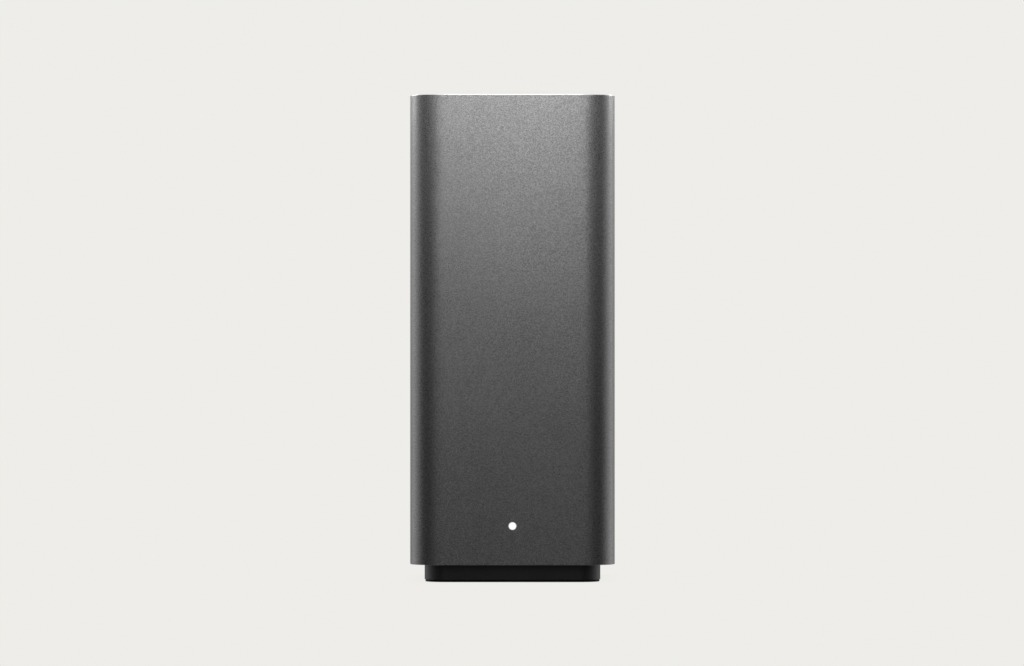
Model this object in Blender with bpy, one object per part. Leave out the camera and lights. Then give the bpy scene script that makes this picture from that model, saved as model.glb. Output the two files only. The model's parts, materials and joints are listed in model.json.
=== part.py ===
"""Mesh wifi node: a square tower whose one-piece sleeve stands on a recessed plinth.

The frame is +Z up with its origin on the floor under the middle of the foot. The status light faces -Y and
the sockets face +Y. Every piece is its own object. A bare length below is in metres, written through MM.
"""

import math

import bmesh
import bpy
from mathutils import Vector

MM = 0.001

# Overall size
WIDTH = 78.0 * MM
DEPTH = 78.0 * MM
HEIGHT = 185.0 * MM
CORNER_RADIUS = 10.5 * MM

# Clearances
GAP = 0.3 * MM  # between two pieces that touch
FIT = 0.15 * MM  # round a pin or a screw in its hole
PAST = 2.0 * MM  # how far a cutter runs past the face it leaves by
BITE = 0.8 * MM  # how deep one shape sinks into another that it is joined to

# Facets
CORNER_STEPS = 8
ROUND_STEPS = 24
SCREW_STEPS = 12
ROUTE_STEPS = 20  # between two points of a lead's route
SMOOTH_BELOW = math.radians(30)
WELD = 0.001 * MM

# Sleeve
WALL = 2.2 * MM
RIM_WALL = 1.2 * MM  # thinner wall above the ledge that carries the top cap
SLEEVE_BOTTOM = 6.7 * MM
LUG_HALF = 4.7 * MM
LUG_HEIGHT = 12.0 * MM

# Foot and plinth
FOOT_SHOW = 0.5 * MM
FOOT_TONGUE = 1.0 * MM
FOOT_WIDTH = 10.7 * MM  # width of the rubber ring
FOOT_TONGUE_OUTER = 2.8 * MM  # tongue's edges in from the plinth's
FOOT_TONGUE_INNER = 9.7 * MM
FOOT_RADIUS = 1.5 * MM  # smallest corner of the ring
OVERHANG = 5.5 * MM  # sleeve beyond the plinth, each side
PLINTH_RADIUS = 8.0 * MM
PLINTH_WALL = 2.2 * MM
PLINTH_FLOOR = 2.4 * MM

# Base plate
BASE_RECESS = 1.6 * MM  # its underside above the sleeve's lower rim
BASE_THICK = 3.0 * MM
NOTCH_LENGTH = 11.0 * MM
NOTCH_CLEAR = 0.7 * MM  # from the plinth out to a notch's floor
NOTCHES_PER_SIDE = 3
NOTCH_PITCH = 15.5 * MM

# Top cap and vent screen
CAP_THICK = 3.1 * MM
CAP_RECESS = 0.6 * MM  # below the sleeve's rim
SLOT_WIDTH = 2.4 * MM
SLOT_LENGTH = 46.0 * MM
SLOT_PITCH = 5.4 * MM
SLOTS = 9
SCREEN_THICK = 0.5 * MM
HOOK_WIDTH = 8.0 * MM
HOOK_THICK = 1.5 * MM
HOOK_LENGTH = 9.4 * MM
HOOK_TIP = 0.4 * MM  # hook below its nub
NUB_OUT = 1.0 * MM
NUB_HEIGHT = 1.8 * MM
NUB_SIDE = 0.5 * MM  # hook beside its nub

# Antennas and the frame that carries them
ANTENNA_FRAME_HEIGHT = 32.0 * MM
ANTENNA_FRAME_INSET = 2.8 * MM  # from the sleeve's inner wall
ANTENNA_FRAME_WALL = 1.6 * MM
ANTENNA_FLOOR_THICK = 2.0 * MM
ANTENNA_FLOOR_WIDTH = 8.5 * MM
ANTENNA_FLOOR_RADIUS = 3.0 * MM
ANTENNA_WIDTH = 28.0 * MM
ANTENNA_HEIGHT = 16.0 * MM
ANTENNA_THICK = 0.4 * MM
ANTENNA_SLOT = 2.0 * MM
ANTENNA_SLOT_HEIGHT = 10.0 * MM
ANTENNA_SLOT_END = 6.0 * MM  # metal left past the slot's closed end
ANTENNA_LIFT = 4.5 * MM  # lower edge above the frame's lower edge
LEAD_DIAMETER = 1.2 * MM
LEAD_SPACING = 3.0 * MM  # between two points of a lead
LEAD_DROP = 2.6 * MM  # leads under the frame
LEAD_TURN = 1.0 * MM  # in from the frame where a lead turns under it
LEAD_RUN = 4.0 * MM  # in from the frame where it runs level
LEAD_SLACK = 0.4 * MM
LEAD_BEND = 2.5 * MM  # beside and above its connector
CONNECTOR_RADIUS = 1.5 * MM
CONNECTOR_THICK = 2.0 * MM
CONNECTOR_DROP = 8.0 * MM  # under the board's upper edge
CONNECTOR_FRONT = 10.0 * MM  # first one from the board's front edge
CONNECTOR_REAR = 18.4 * MM  # last one from the board's rear edge

# Main board and the spine behind it
BOARD_THICK = 1.6 * MM
BOARD_FACE_X = -7.0 * MM
BOARD_ABOVE_BASE = 2.0 * MM
BOARD_BELOW_FRAME = 5.0 * MM
SPINE_THICK = 2.0 * MM
SPINE_INSET = 3.0 * MM  # its front edge behind the antenna frame's front
SPINE_PROUD = 1.0 * MM  # beyond the board's front edge
STANDOFF = 1.6 * MM  # between the spine and the board
BOSS_RADIUS = 2.8 * MM
BOSS_INSET = 3.5 * MM  # screw centres in from a plate's edge
SPINE_DIP = 4.0 * MM  # under the board's upper edge, where the leads cross
TONGUE_WIDTH = 6.0 * MM
TONGUE_INSET = 1.0 * MM  # from the spine's front edge
TONGUE_SHOULDER = 2.0 * MM
TONGUE_ABOVE = 2.2 * MM  # above the antenna frame's floor
BARB_OUT = 0.9 * MM
BARB_INSET = 0.4 * MM  # in from the tongue's edges
SPINE_FOOT_DEPTH = 26.0 * MM
SPINE_FOOT_REACH = 16.0 * MM
SPINE_FOOT_THICK = 2.5 * MM
SPINE_LIFT = 0.8 * MM  # plate's lower edge above the foot's underside

# Cooling
SINK_TO_JACKS = 1.0 * MM
SINK_PROUD = 1.0 * MM  # beyond the board's front edge
SINK_LIFT = 29.0 * MM  # above the board's lower edge
SINK_BELOW_TOP = 16.0 * MM  # under the board's upper edge
SINK_BASE = 4.0 * MM
SINK_STAND = 3.0 * MM  # space under it for the chips
SINK_FIN_HEIGHT = 19.0 * MM
SINK_FINS = 8
FIN_THICK = 1.4 * MM
SINK_FLANGE = 7.0 * MM  # bare base outside the first and last fin
PLATE_BASE = 2.5 * MM
PLATE_FIN_HEIGHT = 7.0 * MM
PLATE_FINS = 5
PEDESTAL_DEPTH = 20.0 * MM
PEDESTAL_HEIGHT = 30.0 * MM
PEDESTAL_ROOM = 3.0 * MM  # between it and the spine's window

# Chips: across the board, up the board, thickness
PROCESSOR_SIZE = (21.0 * MM, 21.0 * MM, 1.4 * MM)
MEMORY_SIZE = (12.0 * MM, 9.0 * MM, 1.0 * MM)
SWITCH_CHIP_SIZE = (10.0 * MM, 10.0 * MM, 0.9 * MM)
CHIP_SPACE = 2.0 * MM
PAD_INSET = 1.0 * MM
SHIELD_THICK = 2.4 * MM
SHIELD_WALL = 0.4 * MM

# Socket strip in the rear wall
IO_WIDTH = 24.0 * MM
IO_BOTTOM = 14.0 * MM
IO_RADIUS = 4.0 * MM
IO_MARGIN = 3.0 * MM
IO_SPACE = 1.6 * MM  # between two neighbouring fittings
BEZEL_RECESS = 0.7 * MM
BEZEL_FLANGE = 2.5 * MM
BEZEL_FLANGE_THICK = 1.8 * MM
FACE_RECESS = 0.3 * MM  # socket faces behind the bezel's face

# Network jack: a plug is 11.7 by 6.7 mm
JACK_TALL = 16.0 * MM
JACK_DEEP = 13.4 * MM
JACK_LONG = 21.0 * MM
JACK_SHELL_WALL = 0.4 * MM
PLUG_TALL = 11.9 * MM
PLUG_DEEP = 6.8 * MM
PLUG_OFFSET = -0.2 * MM
LATCH_TALL = 6.2 * MM
LATCH_DEEP = 2.0 * MM
PLUG_REACH = 14.5 * MM
CONTACTS = 8
CONTACT_PITCH = 1.02 * MM
CONTACT_WIDTH = 0.5 * MM
CONTACT_THICK = 0.35 * MM
CONTACT_LENGTH = 9.0 * MM
CONTACT_STRIP = 2.0 * MM
CONTACT_EDGE = 1.1 * MM  # strip beyond the outer contacts
CONTACT_SLANT = math.radians(3.0)

# Power socket: a barrel plug of 5.5 mm on a 2.1 mm pin
DC_TALL = 10.0 * MM
DC_LONG = 13.0 * MM
DC_NOSE_RADIUS = 4.0 * MM
DC_BORE_RADIUS = 3.2 * MM
DC_BORE_DEPTH = 10.5 * MM
DC_PIN_RADIUS = 1.05 * MM
DC_PIN_SHORT = 1.5 * MM  # pin's tip behind the socket's face

# Buttons
SYNC_RADIUS = 3.5 * MM
SYNC_FLANGE_RADIUS = 4.4 * MM
SYNC_FLANGE_THICK = 1.2 * MM
SYNC_PROUD = 0.3 * MM
SYNC_EDGE = 0.3 * MM
SYNC_STEM_RADIUS = 1.5 * MM
SYNC_SWITCH_TALL = 6.0 * MM
RESET_HOLE_RADIUS = 0.9 * MM
RESET_STEM_RADIUS = 0.8 * MM
RESET_SWITCH_TALL = 3.6 * MM
RESET_SPACE = 4.5 * MM
SWITCH_LONG = 5.5 * MM
STEM_SHOW = 2.4 * MM
STEM_IN = 1.2 * MM
STEM_ROOM = 1.0 * MM  # behind a stem, for its travel

# Power rocker
ROCKER_TILT = math.radians(10.0)  # each way from the middle
ROCKER_HALF = 4.8 * MM
ROCKER_WIDTH = 6.4 * MM
ROCKER_CREST = 4.2 * MM  # from the pivot to the middle of the paddle's face
ROCKER_SKIRT = 3.2 * MM
ROCKER_HUB_RADIUS = 2.0 * MM
ROCKER_HUB_ROOM = 1.5 * MM
TRUNNION_RADIUS = 0.9 * MM
TRUNNION_OUT = 0.9 * MM
ROCKER_FRAME_WALL = 1.1 * MM
ROCKER_PIVOT_IN = 5.3 * MM  # pivot behind the bezel's face
ROCKER_BOX_DEPTH = 14.0 * MM

# Status light
LIGHT_RADIUS = 1.5 * MM
LIGHT_Z = 21.5 * MM
LIGHT_FLANGE_RADIUS = 3.2 * MM
LIGHT_FLANGE_THICK = 1.0 * MM
LIGHT_INSET = 0.05 * MM  # its end behind the sleeve's face
GUIDE_SIDE = 3.0 * MM  # width of its square arm
LED_SIZE = 2.6 * MM
LED_THICK = 1.2 * MM
LED_STAND = 2.2 * MM

# Screws: shank radius, head radius, head height
CASE_SCREW = (1.3 * MM, 2.5 * MM, 1.6 * MM)
CASE_SCREW_PLACE = 11.5 * MM  # in from the sleeve's sides
CASE_SCREW_BITE = 8.0 * MM  # shank inside the sleeve's lug
CASE_POST_WALL = 1.3 * MM
BOARD_SCREW = (1.1 * MM, 2.2 * MM, 1.3 * MM)
# Shares of the head's or the shank's size
SOCKET_RADIUS = 0.5
SOCKET_DEPTH = 0.6
CROWN_RADIUS = 0.85
CROWN_DEPTH = 0.3
POINT = 0.5

# Places that follow from the sizes above
INNER_WIDTH = WIDTH - 2 * WALL
INNER_DEPTH = DEPTH - 2 * WALL
INNER_RADIUS = CORNER_RADIUS - WALL
PLINTH_WIDTH = WIDTH - 2 * OVERHANG
PLINTH_DEPTH = DEPTH - 2 * OVERHANG
PLINTH_BOTTOM = FOOT_SHOW + GAP
BASE_BOTTOM = SLEEVE_BOTTOM + BASE_RECESS
BASE_TOP = BASE_BOTTOM + BASE_THICK
NOTCH_DEPTH = OVERHANG - WALL - GAP - NOTCH_CLEAR
PLINTH_TOP = BASE_BOTTOM - GAP
LUG_BOTTOM = BASE_TOP + GAP
CASE_SCREW_X = WIDTH / 2 - CASE_SCREW_PLACE
CASE_SCREW_Y = DEPTH / 2 - CASE_SCREW_PLACE
CASE_SHOULDER = PLINTH_BOTTOM + FOOT_TONGUE + GAP + CASE_SCREW[2] + GAP

CAP_BOTTOM = HEIGHT - CAP_RECESS - CAP_THICK
LEDGE_Z = CAP_BOTTOM - GAP
SCREEN_TOP = CAP_BOTTOM - GAP
SCREEN_BOTTOM = SCREEN_TOP - SCREEN_THICK
ANTENNA_FRAME_TOP = SCREEN_BOTTOM - GAP
ANTENNA_FRAME_BOTTOM = ANTENNA_FRAME_TOP - ANTENNA_FRAME_HEIGHT
ANTENNA_FLOOR_TOP = ANTENNA_FRAME_BOTTOM + ANTENNA_FLOOR_THICK
ANTENNA_FRAME_WIDTH = INNER_WIDTH - 2 * ANTENNA_FRAME_INSET
ANTENNA_FRAME_DEPTH = INNER_DEPTH - 2 * ANTENNA_FRAME_INSET
ANTENNA_FRAME_RADIUS = INNER_RADIUS - ANTENNA_FRAME_INSET
ANTENNA_BOTTOM = ANTENNA_FRAME_BOTTOM + ANTENNA_LIFT
HOOK_INSET = ANTENNA_FRAME_WALL + GAP  # hook's outer face in from the antenna frame's
HOOK_BOTTOM = CAP_BOTTOM - HOOK_LENGTH
NUB_BOTTOM = HOOK_BOTTOM + HOOK_TIP

BEZEL_FACE_Y = DEPTH / 2 - BEZEL_RECESS
BEZEL_BACK_Y = DEPTH / 2 - WALL - GAP - BEZEL_FLANGE_THICK
BEHIND_BEZEL_Y = BEZEL_BACK_Y - GAP
FITTING_FACE_Y = BEZEL_FACE_Y - FACE_RECESS
JACK_BACK_Y = FITTING_FACE_Y - JACK_LONG

SPINE_FRONT_Y = -ANTENNA_FRAME_DEPTH / 2 + SPINE_INSET
BOARD_FRONT_Y = SPINE_FRONT_Y + SPINE_PROUD
BOARD_REAR_Y = BEHIND_BEZEL_Y
BOARD_BACK_X = BOARD_FACE_X - BOARD_THICK
BOARD_BOTTOM = BASE_TOP + BOARD_ABOVE_BASE
BOARD_TOP = ANTENNA_FRAME_BOTTOM - BOARD_BELOW_FRAME
PART_X = BOARD_FACE_X + GAP  # underside of what is soldered to the board
SPINE_FACE_X = BOARD_BACK_X - STANDOFF
SPINE_BACK_X = SPINE_FACE_X - SPINE_THICK
SPINE_BOTTOM = BASE_TOP + GAP
SPINE_TOP = ANTENNA_FRAME_BOTTOM - GAP
CONNECTOR_Z = BOARD_TOP - CONNECTOR_DROP

SINK_FRONT_Y = BOARD_FRONT_Y - SINK_PROUD
SINK_REAR_Y = JACK_BACK_Y - SINK_TO_JACKS
SINK_BOTTOM = BOARD_BOTTOM + SINK_LIFT
SINK_TOP = BOARD_TOP - SINK_BELOW_TOP
SINK_BASE_X = BOARD_FACE_X + SINK_STAND + GAP
SINK_FACE_X = SINK_BASE_X + SINK_BASE
SINK_MIDDLE_Y = (SINK_FRONT_Y + SINK_REAR_Y) / 2
SINK_MIDDLE_Z = (SINK_BOTTOM + SINK_TOP) / 2
PLATE_FACE_X = SPINE_BACK_X - GAP
PLATE_BACK_X = PLATE_FACE_X - PLATE_BASE

ROCKER_END = ROCKER_CREST + ROCKER_HALF * math.tan(ROCKER_TILT)
ROCKER_SWEEP = ROCKER_HALF * math.cos(ROCKER_TILT) + ROCKER_END * math.sin(ROCKER_TILT)
ROCKER_FRAME_HALF = ROCKER_SWEEP + GAP + ROCKER_FRAME_WALL
ROCKER_FRAME_WIDTH = ROCKER_WIDTH + 2 * (GAP + ROCKER_FRAME_WALL)
ROCKER_PIVOT_Y = BEZEL_FACE_Y - ROCKER_PIVOT_IN


def strip_places():
    """Height of each fitting's centre in the socket strip, stacked upwards, and the strip's top edge."""
    fittings = {
        "dc": DC_TALL,
        "jack_1": JACK_TALL,
        "jack_2": JACK_TALL,
        "reset": RESET_SPACE,
        "sync": 2 * SYNC_FLANGE_RADIUS,
        "rocker": 2 * ROCKER_FRAME_HALF,
    }
    places = {}
    level = IO_BOTTOM + IO_MARGIN
    for name, tall in fittings.items():
        places[name] = level + tall / 2
        level += tall + IO_SPACE
    return places, level - IO_SPACE + IO_MARGIN


PLACE, IO_TOP = strip_places()
IO_HEIGHT = IO_TOP - IO_BOTTOM
IO_MIDDLE = (IO_TOP + IO_BOTTOM) / 2


# Outlines: lists of two-number points, anticlockwise


def arc(centre, radius, start, end, steps):
    """Points on an arc from start to end in degrees, both ends included."""
    angles = [math.radians(start + (end - start) * i / steps) for i in range(steps + 1)]
    return [(centre[0] + radius * math.cos(a), centre[1] + radius * math.sin(a)) for a in angles]


def circle(radius, centre=(0.0, 0.0), steps=ROUND_STEPS):
    return arc(centre, radius, 0, 360, steps)[:-1]


def screw_hole(size, spot):
    """Hole round the shank of a screw."""
    return circle(size[0] + FIT, spot, SCREW_STEPS)


def rectangle(low, high):
    return [low, (high[0], low[1]), high, (low[0], high[1])]


def rounded(width, height, radius, centre=(0.0, 0.0), steps=CORNER_STEPS):
    """Rectangle with round corners."""
    x = width / 2 - radius
    y = height / 2 - radius
    points = []
    for start, side_x, side_y in ((0, 1, 1), (90, -1, 1), (180, -1, -1), (270, 1, -1)):
        corner = (centre[0] + side_x * x, centre[1] + side_y * y)
        points += arc(corner, radius, start, start + 90, steps)
    return points


def rounded_end(length, width, centre):
    """Slot with half-round ends along the first axis."""
    x, y = centre
    reach = (length - width) / 2
    points = arc((x + reach, y), width / 2, -90, 90, CORNER_STEPS // 2)
    return points + arc((x - reach, y), width / 2, 90, 270, CORNER_STEPS // 2)


def comb(low, high, tip, thick, teeth, flange):
    """Base from low to high with teeth that run to tip along the first axis, flange in from its ends."""
    first = low[1] + flange
    pitch = (high[1] - low[1] - 2 * flange - thick) / (teeth - 1)
    points = [(low[0], high[1]), low, (high[0], low[1])]
    for i in range(teeth):
        start = first + i * pitch
        points += [(high[0], start), (tip, start), (tip, start + thick), (high[0], start + thick)]
    return points + [high]


def castellated(width, depth, radius):
    """Round-cornered rectangle whose sides carry the air notches."""
    points = []
    for quarter in range(4):
        along, out = (width, depth) if quarter % 2 == 0 else (depth, width)
        side = arc((-along / 2 + radius, -out / 2 + radius), radius, 225, 270, CORNER_STEPS // 2)
        for i in range(NOTCHES_PER_SIDE):
            middle = (i - (NOTCHES_PER_SIDE - 1) / 2) * NOTCH_PITCH
            left, right = middle - NOTCH_LENGTH / 2, middle + NOTCH_LENGTH / 2
            floor = -out / 2 + NOTCH_DEPTH
            side += [(left, -out / 2), (left, floor), (right, floor), (right, -out / 2)]
        side += arc((along / 2 - radius, -out / 2 + radius), radius, 270, 315, CORNER_STEPS // 2)
        turn = math.radians(90 * quarter)
        turned_side = [
            (x * math.cos(turn) - y * math.sin(turn), x * math.sin(turn) + y * math.cos(turn))
            for x, y in side
        ]
        points += turned_side[:-1]
    return points


# Solids


def along(axis, u, v, w):
    """Point whose outline coordinates are u and v, at w along the axis."""
    return {"X": Vector((w, u, v)), "Y": Vector((u, w, v)), "Z": Vector((u, v, w))}[axis]


def finish_mesh(bm, name):
    bmesh.ops.recalc_face_normals(bm, faces=bm.faces)
    mesh = bpy.data.meshes.new(name)
    bm.to_mesh(mesh)
    bm.free()
    mesh.shade_smooth()
    mesh.set_sharp_from_angle(angle=SMOOTH_BELOW)
    return mesh


def place(name, data, at=(0, 0, 0), material=None, parent=None):
    """Object at a place given in the frame, riding on its parent if it has one."""
    obj = bpy.data.objects.new(name, data)
    bpy.context.scene.collection.objects.link(obj)
    offset = parent.location if parent else Vector((0, 0, 0))
    obj.location = Vector(at) - offset
    obj.parent = parent
    if material:
        data.materials.append(material)
    return obj


def prism_mesh(name, outlines, low, high, axis):
    """Closed solid: the first outline less the others inside it, from low to high along the axis."""
    bm = bmesh.new()
    edges = []
    for outline in outlines:
        ring = [bm.verts.new(along(axis, u, v, low)) for u, v in outline]
        edges += [bm.edges.new(pair) for pair in zip(ring, ring[1:] + ring[:1])]
    bmesh.ops.triangle_fill(bm, use_beauty=True, edges=edges)
    grown = bmesh.ops.extrude_face_region(bm, geom=bm.faces[:])
    moved = [item for item in grown["geom"] if isinstance(item, bmesh.types.BMVert)]
    bmesh.ops.translate(bm, verts=moved, vec=along(axis, 0, 0, high - low))
    return finish_mesh(bm, name)


def prism(name, outlines, low, high, material, axis="Z", at=(0, 0, 0), parent=None):
    return place(name, prism_mesh(name, outlines, low, high, axis), at, material, parent)


def tool(outlines, low, high, axis="Z", at=(0, 0, 0)):
    """Hidden solid that a Boolean cuts with or joins on."""
    obj = place("tool", prism_mesh("tool", outlines, low, high, axis), at)
    obj.hide_render = True
    obj.display_type = "WIRE"
    return obj


def combine(piece, operation, tools):
    for other in tools:
        step = piece.modifiers.new(operation.title(), "BOOLEAN")
        step.operation = operation
        step.solver = "MANIFOLD"
        step.object = other


def cut(piece, *tools):
    combine(piece, "DIFFERENCE", tools)


def join(piece, *tools):
    combine(piece, "UNION", tools)


def turned(name, profile, material, at, toward, steps=ROUND_STEPS, parent=None):
    """Turned solid: radius and height pairs from axis to axis, with its height axis toward a direction."""
    bm = bmesh.new()
    points = [bm.verts.new((radius, 0, height)) for radius, height in profile]
    edges = [bm.edges.new(pair) for pair in zip(points, points[1:])]
    bmesh.ops.spin(
        bm,
        geom=points + edges,
        cent=(0, 0, 0),
        axis=(0, 0, 1),
        angle=math.tau,
        steps=steps,
        use_merge=True,
    )
    bmesh.ops.remove_doubles(bm, verts=bm.verts, dist=WELD)
    obj = place(name, finish_mesh(bm, name), at, material, parent)
    obj.rotation_euler = Vector(toward).to_track_quat("Z", "Y").to_euler()
    return obj


def screw(name, size, grip, at, toward, material):
    """Screw whose head's underside is at a place and whose shank runs grip far toward a direction."""
    shank, head, head_height = size
    socket_floor = head_height * (SOCKET_DEPTH - 1)
    profile = [
        (0, socket_floor),
        (head * SOCKET_RADIUS, socket_floor),
        (head * SOCKET_RADIUS, -head_height),
        (head * CROWN_RADIUS, -head_height),
        (head, head_height * (CROWN_DEPTH - 1)),
        (head, 0),
        (shank, 0),
        (shank, grip - shank * POINT),
        (shank * POINT, grip),
        (0, grip),
    ]
    return turned(name, profile, material, at, toward, steps=SCREW_STEPS)


def chip(name, size, y, z, material, from_x=None):
    """Flat part on the board's face, centred at y and z, or on another face at from_x."""
    across, up, thick = size
    start = PART_X if from_x is None else from_x
    outline = rectangle((-across / 2, -up / 2), (across / 2, up / 2))
    return prism(name, [outline], 0, thick, material, axis="X", at=(start, y, z))


def smooth_route(points, spacing):
    """Points at an even spacing on a Catmull-Rom curve through the given ones."""
    points = [Vector(p) for p in points]
    ends = [2 * points[0] - points[1], *points, 2 * points[-1] - points[-2]]
    fine = []
    for a, b, c, d in zip(ends, ends[1:], ends[2:], ends[3:]):
        for i in range(ROUTE_STEPS):
            t = i / ROUTE_STEPS
            fine.append(
                0.5
                * (
                    2 * b
                    + (c - a) * t
                    + (2 * a - 5 * b + 4 * c - d) * t**2
                    + (3 * b - a - 3 * c + d) * t**3
                )
            )
    fine.append(points[-1])
    total = sum((b - a).length for a, b in zip(fine, fine[1:]))
    count = max(2, round(total / spacing))
    route, walked, wanted = [fine[0]], 0.0, total / count
    for a, b in zip(fine, fine[1:]):
        step = (b - a).length
        while walked + step >= wanted and len(route) < count:
            route.append(a.lerp(b, (wanted - walked) / step))
            wanted += total / count
        walked += step
    return route + [fine[-1]]


def lead(name, points, diameter, material):
    """Round cable on a smooth route."""
    curve = bpy.data.curves.new(name, "CURVE")
    curve.dimensions = "3D"
    curve.bevel_depth = diameter / 2
    curve.bevel_resolution = 2
    curve.use_fill_caps = True
    route = smooth_route(points, LEAD_SPACING)
    spline = curve.splines.new("POLY")
    spline.points.add(len(route) - 1)
    for point, where in zip(spline.points, route):
        point.co = (*where, 1)
    return place(name, curve, (0, 0, 0), material)


def material(name, color, roughness, metallic=0.0):
    made = bpy.data.materials.new(name)
    made.use_nodes = True
    shader = made.node_tree.nodes["Principled BSDF"]
    shader.inputs["Base Color"].default_value = (*color, 1)
    shader.inputs["Roughness"].default_value = roughness
    shader.inputs["Metallic"].default_value = metallic
    return made


# Shell


def case_screw_corners():
    """Sign of X and Y at each case screw."""
    return [(side_x, side_y) for side_x in (-1, 1) for side_y in (-1, 1)]


def lug_outline(side_x, side_y):
    """Corner block of the sleeve, reaching half-way into the wall."""
    skin = WALL / 2
    x, y = WIDTH / 2 - skin, DEPTH / 2 - skin
    inner_x, inner_y = CASE_SCREW_X - LUG_HALF, CASE_SCREW_Y - LUG_HALF
    corner = (WIDTH / 2 - CORNER_RADIUS, DEPTH / 2 - CORNER_RADIUS)
    points = [(inner_x, inner_y), (x, inner_y)]
    points += arc(corner, CORNER_RADIUS - skin, 0, 90, CORNER_STEPS)
    points += [(inner_x, y)]
    return [(side_x * px, side_y * py) for px, py in points]


def outer_sleeve(paint):
    outer = rounded(WIDTH, DEPTH, CORNER_RADIUS)
    inner = rounded(INNER_WIDTH, INNER_DEPTH, INNER_RADIUS)
    sleeve = prism("outer_sleeve", [outer, inner], SLEEVE_BOTTOM, HEIGHT, paint)
    pocket = rounded(WIDTH - 2 * RIM_WALL, DEPTH - 2 * RIM_WALL, CORNER_RADIUS - RIM_WALL)
    cut(sleeve, tool([pocket], LEDGE_Z, HEIGHT + PAST))
    for side_x, side_y in case_screw_corners():
        pilot = screw_hole(CASE_SCREW, (side_x * CASE_SCREW_X, side_y * CASE_SCREW_Y))
        join(sleeve, tool([lug_outline(side_x, side_y)], LUG_BOTTOM, LUG_BOTTOM + LUG_HEIGHT))
        cut(sleeve, tool([pilot], LUG_BOTTOM - PAST, LUG_BOTTOM + CASE_SCREW_BITE + GAP))
    light = circle(LIGHT_RADIUS + FIT, (0, LIGHT_Z))
    cut(sleeve, tool([light], -DEPTH / 2 - PAST, -DEPTH / 2 + WALL + PAST, "Y"))
    window = rounded(IO_WIDTH, IO_HEIGHT, IO_RADIUS, (0, IO_MIDDLE))
    cut(sleeve, tool([window], DEPTH / 2 - WALL - PAST, DEPTH / 2 + PAST, "Y"))


def foot_ring(inset_out, inset_in):
    """Outer and inner outline of a ring under the plinth, each so far in from its edge."""
    return [
        rounded(PLINTH_WIDTH - 2 * inset, PLINTH_DEPTH - 2 * inset, max(PLINTH_RADIUS - inset, FOOT_RADIUS))
        for inset in (inset_out, inset_in)
    ]


def foot_pad(rubber):
    pad = prism("foot_pad", foot_ring(GAP, FOOT_WIDTH), 0, FOOT_SHOW, rubber)
    tongue = foot_ring(FOOT_TONGUE_OUTER, FOOT_TONGUE_INNER)
    join(pad, tool(tongue, FOOT_SHOW / 2, FOOT_SHOW + FOOT_TONGUE))


def plinth(plastic):
    outer = rounded(PLINTH_WIDTH, PLINTH_DEPTH, PLINTH_RADIUS)
    body = prism("plinth", [outer], PLINTH_BOTTOM, PLINTH_TOP, plastic)
    inside = rounded(
        PLINTH_WIDTH - 2 * PLINTH_WALL,
        PLINTH_DEPTH - 2 * PLINTH_WALL,
        PLINTH_RADIUS - PLINTH_WALL,
    )
    floor_top = PLINTH_BOTTOM + PLINTH_FLOOR
    cut(body, tool([inside], floor_top, PLINTH_TOP + PAST))
    seat = foot_ring(FOOT_TONGUE_OUTER - GAP, FOOT_TONGUE_INNER + GAP)
    cut(body, tool(seat, PLINTH_BOTTOM - PAST, PLINTH_BOTTOM + FOOT_TONGUE))
    head = CASE_SCREW[1] + GAP
    for side_x, side_y in case_screw_corners():
        spot = (side_x * CASE_SCREW_X, side_y * CASE_SCREW_Y)
        join(body, tool([circle(head + CASE_POST_WALL, spot)], floor_top - BITE, PLINTH_TOP))
        cut(body, tool([circle(head, spot, SCREW_STEPS)], PLINTH_BOTTOM - PAST, CASE_SHOULDER))
        cut(body, tool([screw_hole(CASE_SCREW, spot)], PLINTH_BOTTOM, PLINTH_TOP + PAST))


def case_screws(steel):
    head_face = CASE_SHOULDER - GAP
    grip = LUG_BOTTOM + CASE_SCREW_BITE - head_face
    for i, (side_x, side_y) in enumerate(case_screw_corners(), 1):
        at = (side_x * CASE_SCREW_X, side_y * CASE_SCREW_Y, head_face)
        screw(f"case_screw_{i}", CASE_SCREW, grip, at, (0, 0, 1), steel)


def base_plate(plastic):
    outline = castellated(INNER_WIDTH - 2 * GAP, INNER_DEPTH - 2 * GAP, INNER_RADIUS - GAP)
    corners = [(side_x * CASE_SCREW_X, side_y * CASE_SCREW_Y) for side_x, side_y in case_screw_corners()]
    holes = [screw_hole(CASE_SCREW, spot) for spot in corners]
    holes += [screw_hole(BOARD_SCREW, spot) for spot in spine_screw_spots()]
    prism("base_plate", [outline, *holes], BASE_BOTTOM, BASE_TOP, plastic)


def sides():
    """Outward direction of each side of the antenna frame, and its half size that way."""
    return [
        ((0, -1), ANTENNA_FRAME_DEPTH / 2),
        ((-1, 0), ANTENNA_FRAME_WIDTH / 2),
        ((1, 0), ANTENNA_FRAME_WIDTH / 2),
        ((0, 1), ANTENNA_FRAME_DEPTH / 2),
    ]


def facing(direction, out_low, out_high, half):
    """Rectangle that spans out_low to out_high along a direction and half each way across it."""
    dx, dy = direction
    corners = [(out, side) for out in (out_low, out_high) for side in (-half, half)]
    xs = [out * dx - side * dy for out, side in corners]
    ys = [out * dy + side * dx for out, side in corners]
    return rectangle((min(xs), min(ys)), (max(xs), max(ys)))


def slot_outlines():
    """Round-ended slots of the top vent."""
    middles = [(i - (SLOTS - 1) / 2) * SLOT_PITCH for i in range(SLOTS)]
    return [rounded_end(SLOT_LENGTH, SLOT_WIDTH, (0, y)) for y in middles]


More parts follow.
